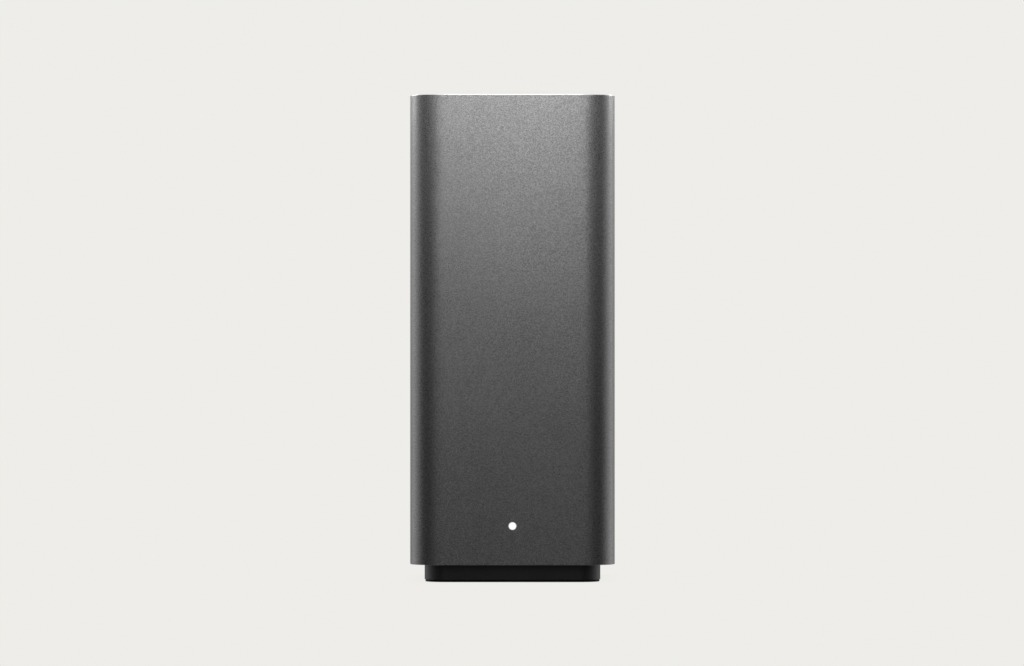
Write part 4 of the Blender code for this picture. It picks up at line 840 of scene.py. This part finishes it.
class WIFI_OT_sockets(bpy.types.Operator):
    """Builds the rear strip: bezel, network jacks and power socket."""

    bl_idname = "wifi.sockets"
    bl_label = "Socket strip"

    def execute(self, context):
        refined("socket_bezel", "io_bezel", finish("black plastic"), "black_plastic", 0.2 * MM)
        for number in (1, 2):
            name = f"ethernet_jack_{number}"
            refined(f"jack_{number}_screen", f"{name}_shell", finish("tinned steel"), "tinned_steel")
            refined(f"jack_{number}_insert", f"{name}_insert", finish("socket plastic"), "socket_plastic")
            self.contacts(number)
        self.windows()
        refined("power_socket", "dc_jack", finish("socket plastic"), "socket_plastic")
        refined("power_pin", "dc_jack_pin", finish("tinned steel"), "tinned_steel", 0.1 * MM)
        return {"FINISHED"}

    def windows(self):
        """Frosted windows of each jack's two lights, beside its latch."""
        windows = []
        for number in (1, 2):
            low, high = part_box(f"ethernet_jack_{number}_insert")
            middle = (low.z + high.z) / 2
            for side in (-1, 1):
                spot = (high.x - WINDOW_IN, middle + side * WINDOW_APART)
                windows.append(pad(
                    WINDOW_HALF[0], WINDOW_HALF[1], WINDOW_CORNER, spot, high.y - WINDOW_DEEP,
                    high.y + WINDOW_PROUD, "Y", WINDOW_PROUD))
        piece("jack_light_windows", together(windows), finish("window"), "light_guide")

    def contacts(self, number):
        """Eight bent spring wires in a row."""
        jack = bpy.context.scene.wifi_metals
        low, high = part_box(f"ethernet_jack_{number}_contacts")
        middle = (low.z + high.z) / 2
        bend = CONTACT_BEND
        base = points_mesh("contact", [
            (low.x + 0.2 * MM, low.y, 0.0),
            (low.x + 0.2 * MM, high.y - bend, 0.0),
            (low.x + 0.35 * MM, high.y - bend / 3, 0.0),
            (low.x + 0.7 * MM, high.y - bend / 2, 0.0),
            (high.x, low.y + 2.5 * bend, 0.0),
        ], joined=True)
        grow = Growth("Contact row", contacts=CONTACTS, pitch=jack.contact_pitch, wire=jack.contact_wire,
                      level=middle, finish=finish("gold"))
        curve = grow.add("GeometryNodeMeshToCurve", {"Mesh": grow["Geometry"]})
        smooth = grow.add("GeometryNodeFilletCurve", {
            "Curve": curve, "Radius": CONTACT_FILLET, "Count": 3}, mode="POLY")
        profile = grow.add("GeometryNodeCurvePrimitiveCircle", {
            "Resolution": 8, "Radius": grow.math("MULTIPLY", grow["Wire"], 0.5)})
        wire = grow.add("GeometryNodeCurveToMesh", {
            "Curve": smooth, "Profile Curve": profile, "Fill Caps": True})
        row = grow.row(grow["Contacts"], grow["Pitch"], "z", grow["Level"])
        wires = grow.add("GeometryNodeInstanceOnPoints", {"Points": row, "Instance": wire})
        solid = grow.add("GeometryNodeRealizeInstances", {0: wires})
        mesh = grow.grow(grow.paint(solid, grow["Finish"]), base)
        piece(f"jack_{number}_contact_row", mesh, None, "contact_gold", f"ethernet_jack_{number}_contacts",
              smooth=math.radians(60))


class WIFI_OT_switches(bpy.types.Operator):
    """Builds the rocker switch, the sync button and the reset switch."""

    bl_idname = "wifi.switches"
    bl_label = "Switches and buttons"

    def execute(self, context):
        refined("rocker_frame", "power_switch_frame", finish("socket plastic"), "socket_plastic", 0.2 * MM)
        refined("rocker_paddle", "power_rocker", finish("button plastic"), "black_plastic", 0.25 * MM,
                "power_rocker", 3)
        self.marks()
        refined("sync_cap", "sync_button", finish("button plastic"), "button_plastic", 0.12 * MM,
                "sync_button")
        for name in ("sync", "reset"):
            refined(f"{name}_switch_body", f"{name}_switch", finish("socket plastic"), "socket_plastic")
        coat_node("sync_switch_stem", finish("stem plastic"))
        coat_node("reset_switch_stem", finish("stem plastic"))
        return {"FINISHED"}

    def marks(self):
        """Bar and ring on the two halves of the rocker's paddle."""
        hinge = next(joint for joint in frame["joints"] if joint["name"] == "power_rocker_tilt")
        bar = pad(
            MARK_LINE / 2, MARK_BAR / 2, MARK_LINE / 2.1, (0.0, 0.0), -MARK_SUNK, MARK_PROUD, "Z", MARK_EDGE)
        ring = loft("ring", [
            lift(circle(radius, steps=40), "Z", level)
            for radius, level in (
                (MARK_RING, -MARK_SUNK), (MARK_RING, MARK_PROUD),
                (MARK_RING - MARK_LINE, MARK_PROUD), (MARK_RING - MARK_LINE, -MARK_SUNK))
        ], closed=True)
        placed = []
        for mesh, side in ((bar, -1), (ring, 1)):
            lean = math.radians(ROCKER_LEAN)
            out = ROCKER_CREST + ROCKER_MARK_AT * math.tan(lean)
            flat = Matrix.Rotation(-math.pi / 2, 4, "X")
            tip = Matrix.Rotation(-side * lean, 4, "X")
            turn = Matrix.Rotation(-lean, 4, "X")
            shift = Matrix.Translation((0.0, out, side * ROCKER_MARK_AT))
            pivot = Matrix.Translation(hinge["pos_m"])
            mesh.transform(pivot @ turn @ shift @ tip @ flat)
            placed.append(mesh)
        piece("rocker_marks", together(placed), finish("stem plastic"), "stem_plastic", body="power_rocker")


# Inside


class WIFI_OT_inside(bpy.types.Operator):
    """Finishes the frames, heat sinks, board, chips, antennas and their leads."""

    bl_idname = "wifi.inside"
    bl_label = "Inside parts"

    def execute(self, context):
        refined("antenna_carrier", "antenna_frame", finish("frame plastic"), "frame_plastic", 0.2 * MM)
        refined("spine", "spine_frame", finish("frame plastic"), "frame_plastic", 0.2 * MM)
        refined("finned_sink", "heat_sink", finish("aluminium"), "sink_aluminium")
        refined("finned_plate", "rear_heat_plate", finish("aluminium"), "sink_aluminium")
        coat_node("main_board", finish("board"))
        for node in ("processor", "memory_chip", "network_switch_chip"):
            refined(f"{node}_body", node, finish("epoxy"), "chip_epoxy", 0.1 * MM)
        refined("thermal_layer", "thermal_pad", finish("silicone"), "thermal_silicone", 0.1 * MM)
        for number in (1, 2):
            refined(f"radio_can_{number}", f"radio_shield_{number}", finish("tinned steel"), "tinned_steel",
                    0.2 * MM)
        for number in range(1, 5):
            coat_node(f"antenna_{number}", finish("brass"))
            coat_node(f"antenna_lead_{number}", finish("sheath"))
            coat_node(f"lead_connector_{number}", finish("brass"))
        return {"FINISHED"}


class WIFI_OT_board_parts(bpy.types.Operator):
    """Builds what is soldered to the board between the large chips."""

    bl_idname = "wifi.board_parts"
    bl_label = "Small board parts"

    def execute(self, context):
        self.chip_parts(context.scene.wifi_board)
        self.capacitors()
        self.magnetics()
        return {"FINISHED"}

    def taken(self, y, z, room):
        """Whether something already stands on this spot of the board's face."""
        return any(
            low.y - room < y < high.y + room and low.z - room < z < high.z + room
            for low, high in self.held
        )

    def chip_parts(self, board):
        """Rows of small resistors and capacitors, some places left empty."""
        low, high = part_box("main_board")
        self.held = [
            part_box(node) for node in frame["nodes"]
            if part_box(node)[1].x > high.x + 0.1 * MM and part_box(node)[0].x < high.x + 0.5 * MM
            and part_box(node)[0].x > low.x - 5 * MM and node not in ("main_board", "heat_sink")
        ]
        for node in frame["nodes"]:
            if node.startswith(("board_screw", "heat_sink_screw")):
                self.held.append(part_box(node))
        self.held += [
            (Vector((0, y - SPOT_ROOM[0], z - SPOT_ROOM[1])), Vector((0, y + SPOT_ROOM[0], z + SPOT_ROOM[1])))
            for y, z in (*CAN_SPOTS, *MAGNETIC_SPOTS)
        ]
        spots = []
        rows = int((high.z - low.z - 2 * PART_EDGE) / board.row_pitch)
        across = int((high.y - low.y - 2 * PART_EDGE) / board.part_pitch)
        for i in range(rows):
            for j in range(across):
                y = low.y + PART_MARGIN + j * board.part_pitch
                z = low.z + PART_MARGIN + i * board.row_pitch
                if not self.taken(y, z, PART_ROOM):
                    spots.append((high.x, y, z))
        grow = Growth("Chip parts", length=1.0 * MM, width=0.5 * MM, height=0.45 * MM, filled=board.filled,
                      seed=board.seed, ceramic=finish("ceramic"), resistor=finish("epoxy"),
                      solder=finish("tinned steel"))
        kinds = []
        for body in ("Ceramic", "Resistor"):
            middle = grow.add("GeometryNodeMeshCube", {"Size": grow.vector(
                grow["Height"], grow.math("MULTIPLY", grow["Length"], 0.6), grow["Width"])})
            ends = []
            for side in (-0.4, 0.4):
                end = grow.add("GeometryNodeMeshCube", {"Size": grow.vector(
                    grow.math("MULTIPLY", grow["Height"], 1.06), grow.math("MULTIPLY", grow["Length"], 0.22),
                    grow.math("MULTIPLY", grow["Width"], 1.06))})
                shift = grow.math("MULTIPLY", grow["Length"], side)
                ends.append(grow.add("GeometryNodeTransform", {
                    "Geometry": end, "Translation": grow.vector(y=shift)}))
            part = grow.join(grow.paint(middle, grow[body]), grow.paint(grow.join(*ends), grow["Solder"]))
            rise = grow.math("MULTIPLY", grow["Height"], 0.53)
            kinds.append(grow.add("GeometryNodeTransform", {
                "Geometry": part, "Translation": grow.vector(x=rise)}))
        choice = grow.add("GeometryNodeGeometryToInstance", {0: list(reversed(kinds))})
        keep = grow.add("FunctionNodeRandomValue", {"Probability": grow["Filled"], "Seed": grow["Seed"]},
                        data_type="BOOLEAN")
        which = grow.add("FunctionNodeRandomValue", {4: 0, 5: 1, "Seed": 7}, data_type="INT")
        quarter = grow.add("FunctionNodeRandomValue", {4: 0, 5: 1, "Seed": 11}, data_type="INT")
        spin = grow.vector(x=grow.math("MULTIPLY", quarter.outputs[2], math.pi / 2))
        placed = grow.add("GeometryNodeInstanceOnPoints", {
            "Points": grow["Geometry"], "Selection": keep.outputs[3], "Instance": choice,
            "Pick Instance": True, "Instance Index": which.outputs[2], "Rotation": spin})
        solid = grow.add("GeometryNodeRealizeInstances", {0: placed})
        mesh = grow.grow(solid, points_mesh("spots", spots))
        piece("chip_parts", mesh, None, "chip_epoxy")

    def capacitors(self):
        """Low metal cans on square bases, their tops scored."""
        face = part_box("main_board")[1].x
        cans, bases = [], []
        for y, z in CAN_SPOTS:
            bases.append(pad(
                CAN_BASE_HALF, CAN_BASE_HALF, CAN_BASE_CORNER, (y, z), face, face + CAN_BASE_HIGH, "X",
                0.15 * MM))
            rows = [(3.0, 1.0), (3.15, 1.3), (3.15, 1.9), (2.95, 2.1), (3.15, 2.3), (3.15, 7.3), (2.85, 7.6),
                    (2.5, 7.6), (2.45, 7.5)]
            can = loft("can", [lift(circle(r * MM, (y, z), 40), "X", face + x * MM) for r, x in rows])
            score = block(
                (face + CAN_TOP - CAN_SCORE_DEEP, y - 2.2 * MM, z - 0.12 * MM),
                (face + CAN_TOP + PAST, y + 2.2 * MM, z + 0.12 * MM))
            cans.append(less(can, score))
        piece("capacitor_bases", together(bases), finish("socket plastic"), "socket_plastic")
        piece("capacitor_cans", together(cans), finish("can"), "sink_aluminium")

    def magnetics(self):
        """Isolating transformers of the network lines, with rows of bent legs."""
        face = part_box("main_board")[1].x
        bodies = []
        for y, z in MAGNETIC_SPOTS:
            bodies.append(pad(
                *MAGNETIC_HALF, MAGNETIC_CORNER, (y, z), face + MAGNETIC_STANDOFF, face + MAGNETIC_TOP, "X",
                0.25 * MM))
        piece("line_transformers", together(bodies), finish("epoxy"), "chip_epoxy")
        route = [(2.2, 3.3), (2.2, 4.3), (0.15, 4.6), (0.15, 5.3)]
        base = points_mesh("leg", [(x * MM, 0.0, z * MM) for x, z in route], joined=True)
        grow = Growth("Leg rows", legs=8, pitch=1.27 * MM, width=0.4 * MM, thick=0.2 * MM,
                      finish=finish("tinned steel"))
        curve = grow.add("GeometryNodeMeshToCurve", {"Mesh": grow["Geometry"]})
        smooth = grow.add("GeometryNodeFilletCurve", {
            "Curve": curve, "Radius": 0.3 * MM, "Count": 2}, mode="POLY")
        profile = grow.add("GeometryNodeCurvePrimitiveQuadrilateral", {
            "Width": grow["Thick"], "Height": grow["Width"]})
        leg = grow.add("GeometryNodeCurveToMesh", {
            "Curve": smooth, "Profile Curve": profile, "Fill Caps": True})
        row = grow.row(grow["Legs"], grow["Pitch"], "y")
        side = grow.add("GeometryNodeInstanceOnPoints", {"Points": row, "Instance": leg})
        other = grow.add("GeometryNodeTransform", {"Geometry": side, "Rotation": (math.pi, 0.0, 0.0)})
        both = grow.join(side, other)
        copies = []
        for y, z in MAGNETIC_SPOTS:
            copies.append(grow.add("GeometryNodeTransform", {"Geometry": both, "Translation": (face, y, z)}))
        solid = grow.add("GeometryNodeRealizeInstances", {0: grow.join(*copies)})
        piece("transformer_legs", grow.grow(grow.paint(solid, grow["Finish"]), base), None, "tinned_steel")


class WIFI_OT_screws(bpy.types.Operator):
    """Builds the screws: crowned heads with six-lobed sockets on threaded shanks."""

    bl_idname = "wifi.screws"
    bl_label = "Screws"

    def execute(self, context):
        metals = context.scene.wifi_metals
        board = (metals.board_shank, metals.board_head, BOARD_HEAD_HEIGHT)
        case = (metals.case_shank, metals.case_head, CASE_HEAD_HEIGHT)
        self.group("case_screw", 4, case, "Z", CASE_THREAD)
        self.group("spine_screw", 2, board, "Z", BOARD_THREAD)
        self.group("board_screw", 2, board, "X", BOARD_THREAD)
        self.group("heat_sink_screw", 4, board, "X", BOARD_THREAD)
        return {"FINISHED"}

    def head(self, radius, height):
        """Crowned head above its underside, with its socket."""
        rows = [(radius - HEAD_EASE, 0.0), (radius, HEAD_EASE), (radius, height * HEAD_SIDE)]
        for i in range(1, 5):
            turn = math.pi / 2 * i / 5
            rise = height * (HEAD_SIDE + (1 - HEAD_SIDE) * math.sin(turn))
            rows.append((radius * (1 - HEAD_CROWN * math.sin(turn) ** 2), rise))
        rows.append((radius * 0.5, height))
        crown = loft("head", [lift(circle(r, steps=32), "Z", -z) for r, z in rows])
        lobes = []
        for i in range(36):
            angle = math.pi * 2 * i / 36
            reach = radius * LOBE_RADIUS * (1 + LOBE_WAVE * math.cos(LOBES * angle))
            lobes.append((reach * math.cos(angle), reach * math.sin(angle)))
        socket = loft("socket", [lift(lobes, "Z", -height * 0.4), lift(lobes, "Z", -height - PAST)])
        return less(crown, socket)

    def group(self, name, count, size, axis, pitch):
        shank, radius, height = size
        """Screws of one kind, their heads at the low end along Z or the high end along X."""
        spots = []
        nodes = [f"{name}_{i}" for i in range(1, count + 1)]
        for node in nodes:
            low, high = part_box(node)
            spot = (low + high) / 2
            if axis == "Z":
                spot.z, turn, grip = low.z + height, (0.0, 0.0, 0.0), high.z - low.z - height
            else:
                spot.x, turn, grip = high.x - height, (0.0, -math.pi / 2, 0.0), high.x - low.x - height
            spots.append(spot)
        base = points_mesh(name, spots)
        shape = holder(self.head(radius, height), "head")
        grow = Growth("Screw set", head_shape=shape, shank_radius=shank, grip=grip, thread_pitch=pitch,
                      thread_depth=shank * THREAD_DEPTH, turn=turn, finish=finish("steel"))
        length = grow.math("ADD", grow["Grip"], SHANK_ROOT)
        rows = grow.math("MULTIPLY", grow.math("DIVIDE", length, grow["Thread pitch"]), 6.0)
        bar = grow.add("GeometryNodeMeshCylinder", {
            "Vertices": 18, "Side Segments": rows, "Radius": grow["Shank radius"], "Depth": length})
        lifted = grow.math("SUBTRACT", grow.math("MULTIPLY", length, 0.5), SHANK_ROOT)
        bar = grow.add("GeometryNodeTransform", {"Geometry": bar, "Translation": grow.vector(z=lifted)})
        at = grow.add("ShaderNodeSeparateXYZ", {0: grow.add("GeometryNodeInputPosition")}).outputs
        around = grow.math("DIVIDE", grow.math("ARCTAN2", at[1], at[0]), 2 * math.pi)
        turns = grow.math("FRACT", grow.math("ADD", grow.math("DIVIDE", at[2], grow["Thread pitch"]), around))
        valley = grow.math("ABSOLUTE", grow.math("SUBTRACT", grow.math("MULTIPLY", turns, 2.0), 1.0))
        cut = grow.math("MULTIPLY", valley, grow["Thread depth"])
        end = grow.math("SUBTRACT", grow["Grip"], shank)
        tip = grow.math("MAXIMUM", grow.math("SUBTRACT", at[2], end), 0.0)
        cut = grow.math("ADD", cut, grow.math("MULTIPLY", tip, 0.45))
        share = grow.math("MULTIPLY", grow.math("DIVIDE", cut, grow["Shank radius"]), -1.0)
        inward = grow.add("ShaderNodeVectorMath", {
            0: grow.vector(x=at[0], y=at[1]), "Scale": share}, operation="SCALE")
        thread = grow.add("GeometryNodeSetPosition", {"Geometry": bar, "Offset": inward})
        head = grow.add("GeometryNodeObjectInfo", {"Object": grow["Head shape"]})
        whole = grow.add("GeometryNodeMeshBoolean", {"Mesh 2": [thread, head.outputs["Geometry"]]},
                         operation="UNION", solver="MANIFOLD")
        placed = grow.add("GeometryNodeInstanceOnPoints", {
            "Points": grow["Geometry"], "Instance": whole, "Rotation": grow["Turn"]})
        solid = grow.add("GeometryNodeRealizeInstances", {0: placed})
        mesh = grow.grow(grow.paint(solid, grow["Finish"]), base)
        bpy.data.objects.remove(shape)
        piece(f"{name}s", mesh, None, "screw_steel", *nodes)


# Stage


def softbox(name, at, power, size=(0.1, 0.06)):
    """Area light turned to the upper part of the front, hidden from the camera."""
    lamp = bpy.data.lights.new(name, "AREA")
    lamp.shape = "RECTANGLE"
    lamp.size, lamp.size_y = size
    lamp.energy = power
    obj = bpy.data.objects.new(name, lamp)
    bpy.context.scene.collection.objects.link(obj)
    obj.location = at
    obj.rotation_mode = "QUATERNION"
    obj.rotation_quaternion = (Vector(LIGHT_AIM) - Vector(at)).to_track_quat("-Z", "Y")
    obj.visible_camera = False


class WIFI_OT_stage(bpy.types.Operator):
    """Sets the pale floor and background, the studio lights and the camera."""

    bl_idname = "wifi.stage"
    bl_label = "Stage"

    def execute(self, context):
        stage = context.scene.wifi_stage
        backdrop = (*stage.backdrop, 1.0)
        context.scene.view_settings.view_transform = "Standard"
        self.world(context, backdrop)
        self.floor(backdrop)
        softbox("Near light", NEAR_AT, stage.near_power)
        softbox("Middle light", MIDDLE_AT, stage.middle_power)
        softbox("Far light", FAR_AT, stage.far_power)
        for side in (-1, 1):
            softbox(f"Side light {side}", (side * SIDE_AT[0], *SIDE_AT[1:]), stage.side_power, SIDE_SIZE)
        lens = bpy.data.cameras.new("Camera")
        lens.lens = stage.lens
        camera = bpy.data.objects.new("Camera", lens)
        context.scene.collection.objects.link(camera)
        camera.location = (-CAMERA_LEFT, -stage.distance, stage.height)
        camera.rotation_euler = (math.pi / 2 - stage.tilt, 0.0, 0.0)
        lens.clip_start, lens.clip_end = CLIP
        context.scene.camera = camera
        return {"FINISHED"}

    def world(self, context, backdrop):
        """Bright at the sides, dimmer behind, and dark towards the camera but for a soft glow."""
        stage = context.scene.wifi_stage
        world = bpy.data.worlds.new("Studio")
        world.use_nodes = True
        context.scene.world = world
        tree = world.node_tree
        add = tree.nodes.new
        shown = tree.nodes["Background"]
        shown.inputs["Color"].default_value = backdrop
        split = add("ShaderNodeSeparateXYZ")
        tree.links.new(add("ShaderNodeTexCoord").outputs["Generated"], split.inputs[0])

        def ramp(start, end, low, high):
            made = add("ShaderNodeMapRange")
            made.interpolation_type = "SMOOTHSTEP"
            tree.links.new(split.outputs[1], made.inputs["Value"])
            for label, value in zip(("From Min", "From Max", "To Min", "To Max"), (start, end, low, high)):
                made.inputs[label].default_value = value
            return made.outputs[0]

        side = ramp(stage.dark_from, stage.bright_from, stage.dark_side, stage.bright_side)
        rear = ramp(REAR_FADE[0], REAR_FADE[1], 1.0, stage.rear_share)
        glow = ramp(FRONT_GLOW[0], FRONT_GLOW[1], stage.front_glow, 0.0)
        strength = add("ShaderNodeMath")
        strength.operation = "MULTIPLY_ADD"
        for value, socket in zip((side, rear, glow), strength.inputs):
            tree.links.new(value, socket)
        around = add("ShaderNodeBackground")
        tree.links.new(strength.outputs[0], around.inputs["Strength"])
        mix = add("ShaderNodeMixShader")
        tree.links.new(add("ShaderNodeLightPath").outputs["Is Camera Ray"], mix.inputs[0])
        tree.links.new(around.outputs[0], mix.inputs[1])
        tree.links.new(shown.outputs[0], mix.inputs[2])
        tree.links.new(mix.outputs[0], tree.nodes["World Output"].inputs["Surface"])

    def floor(self, backdrop):
        """Pale floor, clear to the lights, with a faint shade where the foot meets it."""
        bm = bmesh.new()
        bmesh.ops.create_grid(bm, x_segments=8, y_segments=8, size=20.0)
        mesh = bpy.data.meshes.new("floor")
        bm.to_mesh(mesh)
        bm.free()
        floor = holder(mesh, "floor")
        floor.location.z = -FLOOR_GAP
        material = bpy.data.materials.new("Pale floor")
        material.use_nodes = True
        tree = material.node_tree
        tree.nodes.remove(tree.nodes["Principled BSDF"])
        near = tree.nodes.new("ShaderNodeAmbientOcclusion")
        near.inputs["Distance"].default_value = SHADE_REACH
        near.inputs["Color"].default_value = backdrop
        ground = tree.nodes.new("ShaderNodeMix")
        ground.data_type = "RGBA"
        ground.inputs["Factor"].default_value = SHADE_SHARE
        ground.inputs[6].default_value = backdrop
        tree.links.new(near.outputs["Color"], ground.inputs[7])
        glow = tree.nodes.new("ShaderNodeEmission")
        tree.links.new(ground.outputs[2], glow.inputs["Color"])
        clear = tree.nodes.new("ShaderNodeBsdfTransparent")
        seen = tree.nodes.new("ShaderNodeLightPath").outputs["Is Camera Ray"]
        under = tree.nodes.new("ShaderNodeNewGeometry").outputs["Backfacing"]
        shown = tree.nodes.new("ShaderNodeMath")
        shown.operation = "SUBTRACT"
        shown.use_clamp = True
        tree.links.new(seen, shown.inputs[0])
        tree.links.new(under, shown.inputs[1])
        mix = tree.nodes.new("ShaderNodeMixShader")
        tree.links.new(shown.outputs[0], mix.inputs[0])
        tree.links.new(clear.outputs[0], mix.inputs[1])
        tree.links.new(glow.outputs[0], mix.inputs[2])
        tree.links.new(mix.outputs[0], tree.nodes["Material Output"].inputs["Surface"])
        mesh.materials.append(material)


# Settings, panel and registration


def length(name, description, default):
    return FloatProperty(name=name, description=description, default=default, unit="LENGTH")


def power(name, description, default):
    return FloatProperty(name=name, description=description, default=default, unit="POWER")


def tone(name, description, default):
    return FloatVectorProperty(
        name=name, description=description, subtype="COLOR", size=3, min=0, max=1, default=default)


class ShellSettings(bpy.types.PropertyGroup):
    colour: tone("Shell colour", "Ground colour of the sleeve's coat", (0.217, 0.216, 0.215))
    black: tone("Plastic colour", "Colour of the plinth, cap and bezel", (0.037, 0.037, 0.0375))
    edge: length("Edge", "Radius of the sleeve's eased edges", 0.12 * MM)
    corner_run: length("Corner run", "Length over which the outside bends round a corner", 26.7 * MM)
    grain: length("Grain", "Size of the blasted grain", 0.45 * MM)
    relief: length("Relief", "Depth of the blasted grain", 0.03 * MM)
    sparkle: FloatProperty(
        name="Sparkle", description="How far the flakes' tone varies", default=0.31, min=0, max=1)


class VentSettings(bpy.types.PropertyGroup):
    slots: IntProperty(name="Slots", description="Slots in the top cap", default=9, min=1)
    pitch: length("Slot pitch", "From one slot's middle to the next", 5.4 * MM)
    slot_width: length("Slot width", "Width of a slot", 2.4 * MM)
    slot_length: length("Slot length", "Length of a slot", 46 * MM)
    wires: IntProperty(name="Wires", description="Wires each way in the screen", default=45, min=3)
    wire_pitch: length("Wire pitch", "From one wire to the next", 1.3 * MM)
    wire: length("Wire", "Diameter of the screen's wire", 0.28 * MM)


class LightSettings(bpy.types.PropertyGroup):
    colour: tone("Light colour", "Colour of the status light", (1.0, 1.0, 1.0))
    strength: FloatProperty(
        name="Light strength", description="How brightly the status light shines", default=1.0, min=0)
    core: length("Bright core", "Radius that shines at full strength", 1.0 * MM)
    rim: FloatProperty(
        name="Rim share", description="Share of the light at the rim", default=0.3, min=0, max=1)


class MetalSettings(bpy.types.PropertyGroup):
    steel: tone("Steel", "Colour of the screws", (0.55, 0.54, 0.52))
    brass: tone("Brass", "Colour of the antennas and their plugs", (0.78, 0.55, 0.24))
    board_shank: length("Board screw shank", "Radius of a board screw's shank", 1.1 * MM)
    board_head: length("Board screw head", "Radius of a board screw's head", 2.2 * MM)
    case_shank: length("Case screw shank", "Radius of a case screw's shank", 1.3 * MM)
    case_head: length("Case screw head", "Radius of a case screw's head", 2.5 * MM)
    contact_pitch: length("Contact pitch", "From one jack contact to the next", 1.02 * MM)
    contact_wire: length("Contact wire", "Diameter of a jack contact", 0.4 * MM)


class BoardSettings(bpy.types.PropertyGroup):
    row_pitch: length("Row pitch", "From one row of small parts to the next", 2.4 * MM)
    part_pitch: length("Part pitch", "From one small part to the next", 1.9 * MM)
    filled: FloatProperty(
        name="Filled", description="Share of the places that hold a part", default=0.55, min=0, max=1)
    seed: IntProperty(name="Seed", description="Which places are filled", default=3)


class StageSettings(bpy.types.PropertyGroup):
    backdrop: tone("Backdrop", "Colour of the floor and background", (0.855, 0.847, 0.815))
    lens: FloatProperty(
        name="Lens", description="Focal length in millimetres", default=182.0, unit="CAMERA")
    distance: length("Distance", "Camera to the object's axis", 2.0)
    height: length("Camera height", "Camera above the floor", 0.09465)
    tilt: FloatProperty(
        name="Tilt", description="How far the camera looks down", default=0.0, subtype="ANGLE")
    near_power: power("Near light", "Power of the light above the front", 1.22)
    middle_power: power("Middle light", "Power of the light in front", 0.054)
    far_power: power("Far light", "Power of the light near the camera", 0.12)
    side_power: power("Side lights", "Power of each light beside the object", 2.9)
    dark_side: FloatProperty(
        name="Dark side", description="Brightness of the surroundings in front of the object", default=0.04)
    bright_side: FloatProperty(
        name="Bright side", description="Brightness of the surroundings beside the object", default=1.05)
    rear_share: FloatProperty(
        name="Rear share", description="Share of that brightness straight behind", default=0.43)
    front_glow: FloatProperty(
        name="Front glow", description="Brightness of the surroundings behind the camera", default=0.22)
    dark_from: FloatProperty(
        name="Dark from", description="How far round the dark side starts", default=-0.72)
    bright_from: FloatProperty(
        name="Bright from", description="How far round the bright side starts", default=0.55)


OPERATORS = (
    WIFI_OT_stage,
    WIFI_OT_sleeve,
    WIFI_OT_base,
    WIFI_OT_light,
    WIFI_OT_vent,
    WIFI_OT_sockets,
    WIFI_OT_switches,
    WIFI_OT_inside,
    WIFI_OT_board_parts,
    WIFI_OT_screws,
)
GROUPS = {
    "wifi_shell": ShellSettings,
    "wifi_vent": VentSettings,
    "wifi_light": LightSettings,
    "wifi_metals": MetalSettings,
    "wifi_board": BoardSettings,
    "wifi_stage": StageSettings,
}


class WIFI_PT_panel(bpy.types.Panel):
    """Sizes and steps of the mesh wifi node."""

    bl_idname = "WIFI_PT_panel"
    bl_label = "Mesh wifi node"
    bl_space_type = "VIEW_3D"
    bl_region_type = "UI"
    bl_category = "Wifi node"

    def draw(self, context):
        for key, group in GROUPS.items():
            column = self.layout.column(align=True)
            for label in group.__annotations__:
                column.prop(getattr(context.scene, key), label)
        for operator in OPERATORS:
            self.layout.operator(operator.bl_idname)


def register():
    for group in GROUPS.values():
        bpy.utils.register_class(group)
    for operator in (*OPERATORS, WIFI_PT_panel):
        bpy.utils.register_class(operator)
    for key, group in GROUPS.items():
        setattr(bpy.types.Scene, key, PointerProperty(type=group))


def unregister():
    for key in GROUPS:
        delattr(bpy.types.Scene, key)
    for operator in (WIFI_PT_panel, *reversed(OPERATORS)):
        bpy.utils.unregister_class(operator)
    for group in GROUPS.values():
        bpy.utils.unregister_class(group)


def main():
    register()
    for operator in OPERATORS:
        group, name = operator.bl_idname.split(".")
        getattr(getattr(bpy.ops, group), name)()


if __name__ == "__main__":
    main()
